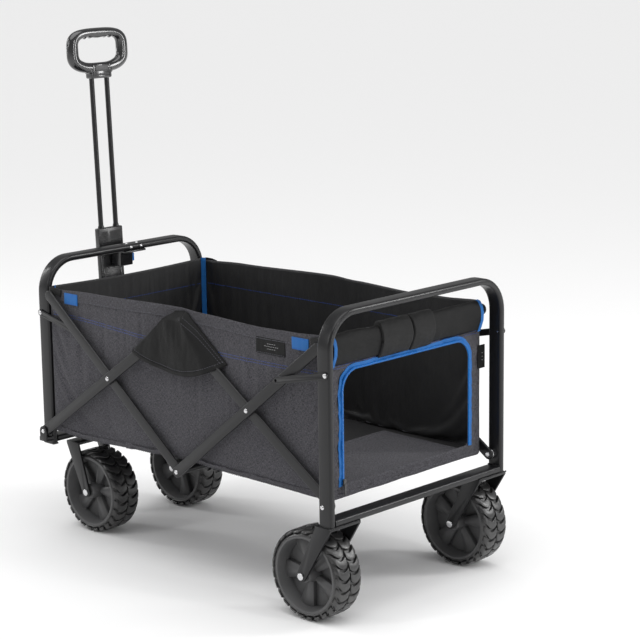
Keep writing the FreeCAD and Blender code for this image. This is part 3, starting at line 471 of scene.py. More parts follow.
def paint():
    """Makes every finish once."""
    c = colours()
    light = lambda tone, by: tuple(min(1.0, v * by) for v in tone)
    finishes.update({
        "powder": hard_finish("Powder Coat", c.powder, 0.34, 1500.0, 0.00006, 0.14, 0.05,
                              Specular_IOR_Level=0.3, Coat_Weight=0.2, Coat_Roughness=0.14),
        "steel": hard_finish("Plated Steel", c.steel, 0.24, 2500.0, 0.00003, 0.2, 0.25,
                             scuff=(0.3, 0.29, 0.28), Metallic=1.0),
        "tyre": hard_finish("Tyre Rubber", c.tyre, 0.33, 700.0, 0.0001, 0.25, 0.12, dust=0.10,
                            Specular_IOR_Level=0.75),
        "hub": hard_finish("Wheel Plastic", c.hub, 0.46, 1100.0, 0.00005, 0.15, 0.06, dust=0.05),
        "plastic": hard_finish("Moulded Plastic", c.plastic, 0.26, 1300.0, 0.00004, 0.12, 0.05,
                               Specular_IOR_Level=0.8),
        "gloss": hard_finish("Glossy Plastic", c.plastic, 0.2, 1100.0, 0.00003, 0.1, 0.04,
                             Specular_IOR_Level=0.6, Coat_Weight=0.7, Coat_Roughness=0.08),
        "blue_plastic": hard_finish("Blue Plastic", c.blue, 0.28, 1300.0, 0.00004),
        "charcoal": cloth_finish("Charcoal Cloth", light(c.charcoal, 0.5),
                                 light(c.charcoal, 3.4), 420.0, 0.9, 0.9, 0.0006, 0.02,
                                 Sheen_Weight=0.06, Sheen_Roughness=0.6,
                                 Specular_IOR_Level=0.3),
        "lining": cloth_finish("Lining Cloth", light(c.lining, 0.8), light(c.lining, 1.6),
                               1400.0, 0.35, 0.58, 0.00012, 0.02),
        "black": cloth_finish("Black Cloth", light(c.black, 0.8), light(c.black, 1.8), 1200.0,
                              0.4, 0.58, 0.00016, 0.01, Specular_IOR_Level=0.22),
        "webbing": webbing_finish("Black Webbing", light(c.black, 0.9), 0.03),
        "blue_webbing": webbing_finish("Blue Webbing", light(c.blue, 0.8), 0.12),
        "thread": hard_finish("Blue Thread", c.thread, 0.6, 3000.0, 0.0001, scuffs=0.0),
        "dark_thread": hard_finish("Grey Thread", (0.09, 0.09, 0.11), 0.6, 3000.0, 0.0001,
                                   scuffs=0.0),
        "zip": hard_finish("Zip Teeth", light(c.blue, 0.75), 0.35, 2000.0, 0.00003),
        "pale": hard_finish("Pale Thread", (0.45, 0.45, 0.46), 0.6, 3000.0, 0.0001, scuffs=0.0),
    })


# ---- end frames ------------------------------------------------------------------------------

def flat_tube(x, half, low, top=664.5, radius=74.0):
    """One bent tube: up one post, across and down the other."""
    shape = bmesh.new()
    corners = [at(x + a * 18, -half + b * 7.5, low) for a, b in ((-1, -1), (1, -1), (1, 1), (-1, 1))]
    first = section(shape, corners, sizes().tube_round)
    inner, shoulder = half - radius, top - radius
    loop = run(shape, first, Z * (shoulder - low) / 1000)
    loop = bend(shape, loop, at(x, -inner, shoulder), X, -90)
    loop = run(shape, loop, Y * 2 * inner / 1000)
    loop = bend(shape, loop, at(x, inner, shoulder), X, -90)
    loop = run(shape, loop, -Z * (shoulder - low) / 1000)
    return closed(shape, first, loop)


def flat_bar(x, half, z):
    """A straight bar between the posts."""
    shape = bmesh.new()
    corners = [at(x + a * 18, -half, z + b * 7.5) for a, b in ((-1, -1), (1, -1), (1, 1), (-1, 1))]
    first = section(shape, corners, sizes().tube_round * 0.8)
    loop = run(shape, first, Y * 2 * half / 1000)
    return closed(shape, first, loop)


def weld_bead(shape, start, end, radius=2.6):
    """A row of overlapping beads along a joint."""
    way = end - start
    count = max(2, int(way.length / (radius * 0.0011)))
    for step in range(count + 1):
        spot = start + way * (step / count)
        jitter = 0.8 + 0.4 * noise.noise(spot * 400)
        bmesh.ops.create_icosphere(shape, subdivisions=1, radius=radius * jitter / 1000,
                                   matrix=Matrix.Translation(spot))


class CART_OT_end_frames(Operator):
    """Front and rear frames, bent from flat tube, with their cross bars and welds"""

    bl_idname = "cart.end_frames"
    bl_label = "End Frames"

    def execute(self, context):
        coat = finishes["powder"]
        finished("front_tube", flat_tube(-468, 243, 229), coat, "front_frame",
                 ["front_frame_tube"])
        finished("rear_tube", flat_tube(468, 277, 219.5), coat, "rear_frame",
                 ["rear_frame_tube"])
        finished("front_bar", flat_bar(-468, 235.5, 238), coat, "front_frame",
                 ["front_bottom_bar"])
        finished("rear_bar", flat_bar(468, 269.5, 227), coat, "rear_frame",
                 ["rear_bottom_bar"])
        welds = bmesh.new()
        for _, side in SIDES:
            weld_bead(welds, at(486.4, side * 289, 219.5), at(486.4, side * 198, 219.5), 2.3)
            weld_bead(welds, at(451, side * 285, 219.5), at(485, side * 285, 219.5), 2.2)
            weld_bead(welds, at(451, side * 269, 234.8), at(485, side * 269, 234.8), 1.8)
        finished("rear_welds", welds, coat, "rear_frame", sharp=80)
        welds = bmesh.new()
        for _, side in SIDES:
            weld_bead(welds, at(-485, side * 235, 245.8), at(-451, side * 235, 245.8), 1.8)
        finished("front_welds", welds, coat, "front_frame", sharp=80)
        return {"FINISHED"}


# ---- scissor linkage -------------------------------------------------------------------------

def strut_bar(node, wide=25.0, thick=6.4):
    """A rounded flat strut that fills the room of one frame node, from its own two ends."""
    low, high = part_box(node)
    co = [v.co for v in frame["nodes"][node].data.vertices]
    rising = sum((p.x - (low.x + high.x) / 2) * (p.z - (low.z + high.z) / 2) for p in co) > 0
    half = wide / 2000
    start_z, end_z = (low.z + half, high.z - half) if rising else (high.z - half, low.z + half)
    start = Vector((low.x + half, (low.y + high.y) / 2, start_z))
    end = Vector((high.x - half, start.y, end_z))
    way = end - start
    shape = bmesh.new()
    bmesh.ops.create_cube(shape, size=1.0)
    bmesh.ops.scale(shape, vec=(way.length + wide / 1000, thick / 1000, wide / 1000), verts=shape.verts)
    ends = [e for e in shape.edges if abs((e.verts[0].co - e.verts[1].co).normalized().y) > 0.9]
    bmesh.ops.bevel(shape, geom=ends, offset=half * 0.99, offset_type="OFFSET", segments=9,
                    profile=0.5, affect="EDGES", material=-1)
    rims = [e for e in shape.edges if len(e.link_faces) == 2
            and any(abs(f.normal.y) > 0.9 for f in e.link_faces)
            and any(abs(f.normal.y) < 0.1 for f in e.link_faces)]
    bmesh.ops.bevel(shape, geom=rims, offset=sizes().strut_round, offset_type="OFFSET", segments=4,
                    profile=0.5, affect="EDGES", material=-1)
    turn = Matrix.Rotation(-math.atan2(way.z, way.x), 4, "Y")
    bmesh.ops.transform(shape, matrix=Matrix.Translation((start + end) / 2) @ turn, verts=shape.verts)
    return shape


class CART_OT_linkage(Operator):
    """Crossed struts, links, rivets, spacers and the brackets they turn in"""

    bl_idname = "cart.linkage"
    bl_label = "Scissor Linkage"

    def execute(self, context):
        coat, steel = finishes["powder"], finishes["steel"]
        for word, _ in SIDES:
            for kind in ("front_outer", "front_inner", "rear_outer", "rear_inner"):
                name = f"{kind}_strut_{word}"
                finished(f"{name}_bar", strut_bar(name), coat, body_of(name), [name])
            for name in (f"front_link_{word}", f"rear_link_{word}"):
                softened(name, coat, 0.8)
            softened(f"front_foot_bracket_{word}", coat, 1.2)
            softened(f"caster_plate_{word}", coat, 0.9)
        for name in ("front_frame_rivets", "rear_frame_rivets", "front_cross_rivets",
                     "rear_cross_rivets", "top_middle_rivets", "lower_middle_rivets",
                     "inner_strut_link_rivets"):
            softened(name, steel, 0.7)
        softened("outer_strut_link_posts", coat, 0.7)
        softened("middle_cross_tube", coat, 0.5)
        softened("front_foot_caps", finishes["plastic"], 1.5, 3)
        return {"FINISHED"}


# ---- forks and wheels ------------------------------------------------------------------------

class CART_OT_forks(Operator):
    """Fixed rear forks, swivelling front forks and the bolts through them"""

    bl_idname = "cart.forks"
    bl_label = "Forks and Bolts"

    def execute(self, context):
        for word, _ in SIDES:
            softened(f"rear_fork_{word}", finishes["powder"], 1.2)
            softened(f"caster_fork_{word}", finishes["powder"], 1.2)
            softened(f"axle_bolt_front_{word}", finishes["steel"], 1.0)
        softened("rear_axle_bolts", finishes["steel"], 1.0)
        return {"FINISHED"}


def tread_profile(share):
    """A point and outward direction on the tread, from its centre line out to the side wall."""
    flat, radius = 0.60, 12.0
    if share < flat:
        across = 1.5 + (27.0 - 1.5) * share / flat
        return across, 100.0 - 0.7 * (share / flat) ** 2, 0.0
    turn = (share - flat) / (1 - flat) * math.radians(68)
    return 27.0 + radius * math.sin(turn), 99.3 - radius * (1 - math.cos(turn)), turn


def tyre_shape():
    """A tyre round the Y axis at the origin: carcass and two staggered rows of blocks."""
    s = sizes()
    shape = bmesh.new()
    half = [(0, 94.6), (20, 94.3), (30, 92.4), (36.3, 87.5), (37.6, 85.5), (36.4, 84.2), (34, 83.6)]
    outline = half + [(-a, r) for a, r in reversed(half[1:])]
    turned(shape, [Vector((0, a / 1000, r / 1000)) for a, r in outline], (0, 0, 0), Y, 96)
    pitch = 360.0 / s.lug_count
    for side in (-1, 1):
        lug = bmesh.new()
        bmesh.ops.create_cube(lug, size=1.0)
        long = [e for e in lug.edges if abs((e.verts[0].co - e.verts[1].co).y) > 0.5]
        bmesh.ops.subdivide_edges(lug, edges=long, cuts=9, use_grid_fill=True)
        for vert in lug.verts:
            share, place, depth = vert.co.y + 0.5, vert.co.x, 0.5 - vert.co.z
            across, radius, lean = tread_profile(share)
            across -= depth * s.lug_height * 1000 * math.sin(lean)
            radius -= depth * s.lug_height * 1000 * math.cos(lean)
            width = 0.80 - 0.16 * max(0.0, share - 0.45) - 0.10 * (1 - depth)
            dogleg = 0.34 * math.sin(share * 4.6) - 0.10 * share
            angle = math.radians(pitch * (place * width + dogleg))
            vert.co = (radius * math.sin(angle) / 1000, side * across / 1000,
                       radius * math.cos(angle) / 1000)
        bmesh.ops.recalc_face_normals(lug, faces=lug.faces)
        rounded(lug, 1.1, 2, 50)
        bmesh.ops.rotate(lug, cent=(0, 0, 0), verts=lug.verts,
                         matrix=Matrix.Rotation(math.radians(pitch / 2 if side > 0 else 0), 3, "Y"))
        bmesh.ops.spin(lug, geom=lug.verts[:] + lug.edges[:] + lug.faces[:], cent=(0, 0, 0), axis=Y,
                       dvec=(0, 0, 0), angle=math.radians(360 - pitch), steps=s.lug_count - 1,
                       use_duplicate=True)
        added(shape, lug)
    bmesh.ops.recalc_face_normals(shape, faces=shape.faces)
    return shape


def hub_shape():
    """A wheel round the Y axis at the origin: barrel, five folded spokes and a stepped rim."""
    shape = bmesh.new()
    rim = [(-36.8, 84.6), (-37, 80), (-35, 78.2), (-14, 76.5), (-11, 74.2), (11, 74.2), (14, 76.5),
           (35, 78.2), (37, 80), (36.8, 84.6)]
    turned(shape, [Vector((0, a / 1000, r / 1000)) for a, r in rim], (0, 0, 0), Y, 80)
    barrel = [(-37, 5.3), (-37, 14), (-34, 17), (-16, 19), (16, 19), (34, 17), (37, 14), (37, 5.3)]
    turned(shape, [Vector((0, a / 1000, r / 1000)) for a, r in barrel], (0, 0, 0), Y, 40)
    web = [(-2, 18), (2, 18), (2, 75.5), (-2, 75.5)]
    turned(shape, [Vector((0, a / 1000, r / 1000)) for a, r in web], (0, 0, 0), Y, 60)
    for spoke in range(5):
        part = bmesh.new()
        bmesh.ops.create_cube(part, size=1.0)
        wide = [e for e in part.edges if abs((e.verts[0].co - e.verts[1].co).x) > 0.5]
        bmesh.ops.subdivide_edges(part, edges=wide, cuts=3, use_grid_fill=True)
        for vert in part.verts:
            out = vert.co.z + 0.5
            half = 7.5 + 13.5 * out ** 1.2
            ridge = 1 - min(1.0, abs(vert.co.x) * 2)
            face = (12.0 + 9.0 * ridge * (1 - 0.55 * out)) * (1 if vert.co.y > 0 else -1)
            vert.co = (vert.co.x * 2 * half / 1000, face / 1000, (16 + 60.5 * out) / 1000)
        rounded(part, 1.2, 2, 35)
        bmesh.ops.rotate(part, cent=(0, 0, 0), verts=part.verts,
                         matrix=Matrix.Rotation(math.radians(72 * spoke), 3, "Y"))
        added(shape, part)
    bmesh.ops.recalc_face_normals(shape, faces=shape.faces)
    return shape


class CART_OT_wheels(Operator):
    """Four all-terrain wheels: moulded hubs with blocky tyres"""

    bl_idname = "cart.wheels"
    bl_label = "Wheels"

    def execute(self, context):
        tyre, hub = tyre_shape(), hub_shape()
        turns = {"front_left": 17, "rear_left": 49, "front_right": 30, "rear_right": 8}
        for name, turn in turns.items():
            low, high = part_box(f"tyre_{name}")
            place = Matrix.Translation((low + high) / 2) @ Matrix.Rotation(math.radians(turn), 4, "Y")
            for source, kind, slot in ((tyre, "tyre", "tyre_rubber"), (hub, "hub", "wheel_plastic")):
                shape = source.copy()
                bmesh.ops.transform(shape, matrix=place, verts=shape.verts)
                finished(f"{kind}_{name}_moulded", shape, finishes[kind], f"wheel_{name}",
                         [f"{kind}_{name}"], 40)
        return {"FINISHED"}


# ---- pull handle -----------------------------------------------------------------------------

def handle_frame():
    """The place of the handle: its pivot, leaning back from upright."""
    return Matrix.Translation(at(-497, 0, 240)) @ Matrix.Rotation(math.radians(-2.5), 4, "Y")


def handle_block(shape, low, high, width, steps=3):
    """A rounded box in the handle's own upright axes, in millimetres."""
    part = bmesh.new()
    bmesh.ops.create_cube(part, size=1.0)
    bmesh.ops.scale(part, vec=[(b - a) / 1000 for a, b in zip(low, high)], verts=part.verts)
    rounded(part, width, steps)
    bmesh.ops.translate(part, vec=[(a + b) / 2000 for a, b in zip(low, high)], verts=part.verts)
    return added(shape, part)


def grip_ring():
    """The hand ring: one rounded loop, fuller at its sides, that swells where the fingers lie."""
    shape = bmesh.new()
    middle, wide, high = 897.5, 77.0, 41.0
    bmesh.ops.create_grid(shape, x_segments=128, y_segments=20, size=0.5)
    for vert in shape.verts:
        turn = (vert.co.x + 0.5) * 2 * math.pi
        tube = (vert.co.y + 0.5) * 2 * math.pi
        c, s = math.cos(turn), math.sin(turn)
        y = wide * math.copysign(abs(c) ** 0.5, c) * (1.0 - 0.2 * max(0.0, -s) ** 2)
        z = high * math.copysign(abs(s) ** 0.55, s) + 2.5 * max(0.0, s) * math.cos(y / 60.0)
        out = Vector((0, c, s * 1.25)).normalized()
        radial = 10.2 + 5.2 * c * c + 2.0 * max(0.0, -s)
        fingers = 4.5 * max(0.0, s) ** 2 * (0.5 + 0.5 * math.cos(y * math.pi / 11.0)) * (abs(y) < 44)
        reach = (radial if math.cos(tube) > 0 else radial + fingers) * math.cos(tube)
        vert.co = Vector((12.6 * math.sin(tube), y, middle + z)) / 1000 + out * reach / 1000
    bmesh.ops.remove_doubles(shape, verts=shape.verts, dist=1e-5)
    bmesh.ops.recalc_face_normals(shape, faces=shape.faces)
    return shape


class CART_OT_handle(Operator):
    """Telescoping pull handle: sheath with collar, two rods, ring grip and release button"""

    bl_idname = "cart.handle"
    bl_label = "Pull Handle"

    def execute(self, context):
        place, plastic = handle_frame(), finishes["plastic"]

        def done(name, shape, finish, body, nodes, sharp=35):
            bmesh.ops.transform(shape, matrix=place, verts=shape.verts)
            return finished(name, shape, finish, body, nodes, sharp)

        shape = bmesh.new()
        handle_block(shape, (-7.2, -36.5, -7), (7.2, 36.5, 412), 3.0)
        handle_block(shape, (-8, -38, 408), (8, 38, 470), 2.6)
        for face in (-1, 1):
            low, high = sorted((face * 7.4, face * 8.0))
            handle_block(shape, (low, -30, 424), (high, -10, 462), 0.3, 1)
            handle_block(shape, (low, -4, 424), (high, 30, 462), 0.3, 1)
            low, high = sorted((face * 6.6, face * 7.9))
            for y in (-27, 27):
                handle_block(shape, (low, y - 2, 20), (high, y + 2, 400), 0.6, 2)
        done("handle_cover", shape, plastic, "handle", ["handle_sheath"])
        shape = bmesh.new()
        for side in (-1, 1):
            bmesh.ops.create_cone(shape, cap_ends=True, segments=28, radius1=0.006, radius2=0.006,
                                  depth=0.448, matrix=Matrix.Translation(Vector((0, side * 0.0235, 0.622))))
            bmesh.ops.create_cone(shape, cap_ends=True, segments=28, radius1=0.0078, radius2=0.0068,
                                  depth=0.006, matrix=Matrix.Translation(Vector((0, side * 0.0235, 0.473))))
        done("handle_bars", shape, finishes["powder"], "handle_extension",
             ["handle_rods"])
        shape = grip_ring()
        handle_block(shape, (-12, -32, 831), (12, 32, 856), 4.0)
        handle_block(shape, (-12.2, -38, 842), (12.2, 38, 862), 7.0, 4)
        for face in (-1, 1):
            low, high = sorted((face * 11.6, face * 13.1))
            for y in (-25, 25):
                handle_block(shape, (low, y - 1.8, 835), (high, y + 1.8, 864), 0.6)
            handle_block(shape, (low, -25, 861), (high, 25, 864), 0.5)
            handle_block(shape, (low, -25, 835), (high, 25, 838), 0.5)
        done("handle_ring", shape, finishes["gloss"], "handle_extension",
             ["handle_grip"], 40)
        softened("grip_button", finishes["hub"], 1.2, 3)
        softened("handle_hinge_bracket", finishes["powder"], 0.9)
        softened("handle_pivot_pin", finishes["steel"], 0.9)
        return {"FINISHED"}


class CART_OT_latch(Operator):
    """Latch under the front top bar that holds the raised handle, with its blue lever"""

    bl_idname = "cart.latch"
    bl_label = "Handle Latch"

    def execute(self, context):
        softened("handle_latch_body", finishes["plastic"], 2.0, 3)
        softened("handle_latch_lever", finishes["blue_plastic"], 1.6, 3)
        ribs = bmesh.new()
        for step in range(5):
            rise = step * 3.6
            block(ribs, (-493.8, 46.1, 626.5 + rise), (-480, 47.2, 628.4 + rise), 0.4, 2)
        finished("latch_lever_ribs", ribs, finishes["blue_plastic"], "latch_lever")
        screws = bmesh.new()
        for y in (12, 44):
            for place, radius, squat in ((at(-468, y, 672), 0.0048, (1, 1, 0.5, 1)),
                                         (at(-450, y, 664.5), 0.0044, (0.45, 1, 1, 1))):
                bmesh.ops.create_uvsphere(screws, u_segments=20, v_segments=10, radius=radius,
                                          matrix=Matrix.Translation(place) @ Matrix.Diagonal(squat))
        finished("latch_screws", screws, finishes["steel"], "front_frame", sharp=80)
        return {"FINISHED"}


# ---- fabric tub ------------------------------------------------------------------------------

def between(table, x):
    """A value read smoothly from a short table of (place, value)."""
    if x <= table[0][0]:
        return table[0][1]
    for (a, low), (b, high) in zip(table, table[1:]):
        if x <= b:
            share = (x - a) / (b - a)
            share = share * share * (3 - 2 * share)
            return low + (high - low) * share
    return table[-1][1]


TOP_EDGE = ((-446, 603), (-300, 609), (0, 616), (70, 612), (250, 606), (340, 608), (446, 613))
HEM_EDGE = ((-446, 262), (-330, 258), (-120, 266), (-40, 271), (40, 271), (150, 267), (446, 264))
PANEL_Y, PANEL_X = 246.6, 444.6
sheets, surfaces = [], {}  # panels still to be settled, and the settled ones' surfaces by name


def creased(point, size, amount):
    """A smooth wave that repeats nowhere, for cloth that is not quite flat."""
    return amount * noise.fractal(point / size, 0.9, 2.1, 3, noise_basis="PERLIN_ORIGINAL")


def sheet_of(name, columns, rows, spot, uv_size):
    """A fine grid whose points are placed by spot(u, v), with its UV map in metres."""
    shape = bmesh.new()
    bmesh.ops.create_grid(shape, x_segments=columns, y_segments=rows, size=0.5)
    layer = shape.loops.layers.uv.new("sheet")
    for face in shape.faces:
        for loop in face.loops:
            loop[layer].uv = ((loop.vert.co.x + 0.5) * uv_size[0], (loop.vert.co.y + 0.5) * uv_size[1])
    for vert in shape.verts:
        vert.co = spot(vert.co.x + 0.5, vert.co.y + 0.5)
    return shape


def facing(shape, way):
    """Makes a sheet's faces point mostly along one direction."""
    total = sum((f.normal * f.calc_area() for f in shape.faces), Vector())
    if total.dot(way) < 0:
        bmesh.ops.reverse_faces(shape, faces=shape.faces)
    return shape


def cloth_panel(name, shape, body, nodes, outward, held, limits, outer="charcoal", inner="lining",
                slack=None):
    """A tub panel, kept until all the cloth is settled: limits are how far in, out and along."""
    shape.normal_update()
    facing(shape, outward)
    pinned = [v.index for v in shape.verts if held(v)]
    thing = finished(name, shape, [finishes[outer], finishes[inner]], body, nodes, 60)
    sheets.append((thing, pinned, outward, limits, sizes().cloth_slack if slack is None else slack))
    return thing


def settle(frames=16):
    """Lets every cloth panel buckle and sag between its seams, then keeps that shape."""
    scene = bpy.context.scene
    rest = {}
    for thing, pinned, _, _, slack in sheets:
        rest[thing.name] = [v.co.copy() for v in thing.data.vertices]
        group = thing.vertex_groups.new(name="seams")
        group.add(pinned, 1.0, "REPLACE")
        cloth = thing.modifiers.new("cloth", "CLOTH")
        values = cloth.settings
        values.quality, values.mass, values.air_damping = 4, 0.25, 2.0
        values.tension_stiffness = values.compression_stiffness = 25.0
        values.shear_stiffness, values.bending_stiffness = 12.0, 1.2
        values.shrink_min = -slack
        values.vertex_group_mass = "seams"
        cloth.collision_settings.use_collision = False
        cloth.point_cache.frame_end = frames
    for step in range(1, frames + 1):
        scene.frame_set(step)
    graph = bpy.context.evaluated_depsgraph_get()
    moved = {t.name: [v.co.copy() for v in t.evaluated_get(graph).data.vertices] for t, *_ in sheets}
    for thing, pinned, outward, (inward, out, along), slack in sheets:
        thing.modifiers.clear()
        for vert, start, end in zip(thing.data.vertices, rest[thing.name], moved[thing.name]):
            way = end - start
            part = way.dot(outward)
            calm = -inward * math.tanh(-part / inward) if part < 0 else out * math.tanh(part / out)
            drop = way - outward * part
            if drop.length > along:
                drop *= along / drop.length
            vert.co = start + outward * calm + drop
    scene.frame_set(1)


def surface_of(thing):
    """Keeps a settled panel's surface, so that trim can be laid on it."""
    shape = bmesh.new()
    shape.from_mesh(thing.data)
    surfaces[thing.name] = BVHTree.FromBMesh(shape)
    shape.free()


def thicken(thing, thick):
    """Gives a settled sheet its two faces, the second in the lining."""
    wall = thing.modifiers.new("thickness", "SOLIDIFY")
    wall.thickness, wall.offset = thick, 0.0
    wall.material_offset, wall.material_offset_rim = 1, 0
    wall.use_even_offset = True


def side_spot(side):
    """Places the points of one side panel, by u along the cart and v up it."""
    def spot(u, v):
        x = -PANEL_X + 2 * PANEL_X * u
        low, high = between(HEM_EDGE, x), between(TOP_EDGE, x)
        z = low + (high - low) * v
        edge = min(u, 1 - u, v, 1 - v)
        ease = min(1.0, edge * 8)
        y = PANEL_Y - 2.2 - ease * creased(Vector((x, z * 1.2, side * 500)), 120.0, 3.0)
        return at(x, side * y, z)
    return spot


def end_spot(u, v):
    """A point of the front panel, by u across and v up."""
    y = -PANEL_Y + 4 + 2 * (PANEL_Y - 4) * u
    low, high = 268.0, 609.0 - 5.0 * math.sin(math.pi * u)
    z = low + (high - low) * v
    ease = min(1.0, min(u, 1 - u, v, 1 - v) * 8)
    return at(-PANEL_X + 1 + ease * creased(Vector((y, z, 90)), 100.0, 3.0), y, z)


def rounded_reach(angle, half_y, low, high, radius, middle):
    """How far it is from the middle to the edge of a doorway with two round top corners."""
    c, s = math.cos(angle), math.sin(angle)
    upright = high - middle if s > 0 else middle - low
    flat = min(half_y / max(abs(c), 1e-9), upright / max(abs(s), 1e-9))
    y, z = flat * c, flat * s
    if s > 0 and abs(y) > half_y - radius and z > high - middle - radius:
        cy, cz = math.copysign(half_y - radius, c), high - middle - radius
        b = cy * c + cz * s
        return b + math.sqrt(max(0.0, b * b - (cy * cy + cz * cz - radius * radius)))
    return flat


# half width, sill, head, corner radius and the height that angles are taken about
DOOR = (206.0, 290.0, 534.0, 45.0, 410.0)


def door_point(angle, reach, grow=0.0):
    """A point of the doorway's outline, or beside it: y and z in millimetres."""
    half, low, high, radius, middle = DOOR
    far = rounded_reach(angle, half + grow, low - grow, high + grow, radius + grow, middle)
    return (far + reach) * math.cos(angle), middle + (far + reach) * math.sin(angle)


def rear_spot(u, v):
    """A point of the rear panel: u goes round the doorway, v from it to the outer edge."""
    angle = 2 * math.pi * u - math.pi / 2
    half, low, high = PANEL_Y - 4, 264.0, 612.0
    corners = [math.atan2(z - DOOR[4], y) for y in (-half, half) for z in (low, high)]
    near = min(corners, key=lambda c: abs(math.remainder(c - angle, 2 * math.pi)))
    if abs(math.remainder(near - angle, 2 * math.pi)) < math.pi / 260 * 1.02:
        angle = near
    inner = rounded_reach(angle, *DOOR)
    outer = rounded_reach(angle, half, low, high, 0.0001, DOOR[4])
    share = inner + (outer - inner) * v
    y, z = share * math.cos(angle), DOOR[4] + share * math.sin(angle)
    ease = min(1.0, min(v, 1 - v) * 6)
    return at(PANEL_X - 1 - ease * creased(Vector((y, z, 700)), 90.0, 2.5), y, z)


def floor_spot(u, v):
    """A point of the floor, by u along the cart and v across it."""
    x, y = -PANEL_X + 3 + 2 * (PANEL_X - 3) * u, -PANEL_Y + 5 + 2 * (PANEL_Y - 5) * v
    ease = min(1.0, min(u, 1 - u, v, 1 - v) * 6)
    return at(x, y, 274.2 + ease * creased(Vector((x, y, 40)), 150.0, 1.2))


def flap_spot(u, v):
    """A point of the door flap, by u from its hinge inwards and v across."""
    x, y = 438 - 240 * u, -200 + 400 * v
    ease = min(1.0, min(u, 1 - u, v, 1 - v) * 6)
    return at(x, y, 278.5 + 3.0 * u + ease * creased(Vector((x, y, 10)), 70.0, 2.0))


def gusset_spot(side):
    """The cap over the struts' middle pins: a tent sewn along both slopes, open along its hem."""
    hem_x = ((0.0, -142), (0.04, -131), (0.35, -52), (0.62, 22), (0.85, 96), (1.0, 153))
    hem_z = ((0.0, 509), (0.04, 503), (0.35, 479), (0.62, 472), (0.85, 486), (1.0, 510))

    def spot(u, v):
        places = [a for a, b in hem_x]
        x1 = spline(places, [b for a, b in hem_x], u)
        z1 = spline(places, [b for a, b in hem_z], u)
        x0, z0 = -9 + 34 * u, 608 + 3 * u
        x, z = x0 + (x1 - x0) * v, z0 + (z1 - z0) * v
        rise = math.sin(min(1.0, v * 7.0) * math.pi / 2)
        brim = math.sin(min(1.0, u * 24) * math.pi / 2) * math.sin(min(1.0, (1 - u) * 7) * math.pi / 2)
        hollow = 3.5 * math.exp(-((u - 0.42) / 0.16) ** 2) * v
        y = 249.3 + (25.4 - 3.0 * u - hollow) * rise * brim
        fold = 1.6 * math.sin(math.pi * u) * math.sin(9.0 * u - 5.5 * v)
        y += (creased(Vector((x * 1.6, z * 0.7, 33 * side)), 42.0, 1.6) + fold) * rise * brim
        return at(x, side * y, z)
    return spot


def spline(places, values, x):
    """A smooth value through a few points, by Lagrange's rule."""
    total = 0.0
    for i, a in enumerate(places):
        term = values[i]
        for j, b in enumerate(places):
            if i != j:
                term *= (x - b) / (a - b)
        total += term
    return total


class CART_OT_tub(Operator):
    """Fabric tub: sides, ends, floor, door flap and side gussets, settled as cloth"""

    bl_idname = "cart.tub"
    bl_label = "Fabric Tub"

    def execute(self, context):
        thick = sizes().cloth_thick
        for word, side in SIDES:
            spot = side_spot(side)
            shape = sheet_of("side", 176, 68, spot, (0.89, 0.345))
            ends = lambda v: (abs(v.co.x - MID) > 0.4435
                              or v.co.z * 1000 > between(TOP_EDGE, (v.co.x - MID) * 1000) - 6
                              or v.co.z * 1000 < between(HEM_EDGE, (v.co.x - MID) * 1000) + 6)
            thing = cloth_panel(f"tub_side_cloth_{word}", shape, "front_frame", [f"tub_side_{word}"],
                                Y * side, ends, (0.011, 0.0028, 0.006))
            soft(thing)
            shape = sheet_of("gusset", 96, 44, gusset_spot(side), (0.27, 0.15))
            rim = lambda v: abs(v.co.y) < 0.2515
            thing = cloth_panel(f"gusset_{word}", shape, "front_frame", [], Y * side, rim,
                                (0.0008, 0.003, 0.002), "black", "black", 0.012)
            soft(thing)
        shape = sheet_of("front", 96, 68, end_spot, (0.49, 0.34))
        edge = lambda v: (abs(v.co.y) > 0.2405 or v.co.z > 0.600 or v.co.z < 0.272)
        thing = cloth_panel("tub_front_cloth", shape, "front_frame", ["tub_front_panel"], -X, edge,
                            (0.012, 0.0015, 0.006))
        soft(thing)
        shape = sheet_of("rear", 260, 14, rear_spot, (1.3, 0.07))
        bmesh.ops.remove_doubles(shape, verts=shape.verts, dist=1e-5)
        layer = shape.loops.layers.uv.active
        for face in shape.faces:
            for loop in face.loops:
                loop[layer].uv = (loop.vert.co.y, loop.vert.co.z)
        edge = lambda v: (abs(v.co.y) > 0.2405 or v.co.z > 0.600 or v.co.z < 0.268
                          or (v.is_boundary))
        thing = cloth_panel("tub_rear_cloth", shape, "front_frame", ["tub_rear_panel"], X, edge,
                            (0.008, 0.002, 0.006))
        soft(thing)
        shape = sheet_of("floor", 120, 66, floor_spot, (0.88, 0.49))
        edge = lambda v: (abs(v.co.y) > 0.2405 or abs(v.co.x - MID) > 0.438)
        thing = cloth_panel("tub_floor_cloth", shape, "front_frame", ["tub_floor"], -Z, edge,
                            (0.002, 0.002, 0.006), "charcoal", "lining")
        soft(thing)
        shape = sheet_of("flap", 60, 96, flap_spot, (0.24, 0.40))
        thing = cloth_panel("door_flap_cloth", shape, "tailgate", ["tailgate_flap"], Z,
                            lambda v: v.co.x - MID > 0.434 or v.co.x - MID < 0.203
                            or abs(v.co.y) > 0.196, (0.002, 0.006, 0.006))
        soft(thing)
        settle()
        for thing, *_ in sheets:
            thing.modifiers.clear()
            surface_of(thing)
            thicken(thing, thick)
        return {"FINISHED"}


# ---- trim that follows the cloth -------------------------------------------------------------

RAY_START, RAY_REACH = 0.06, 0.14


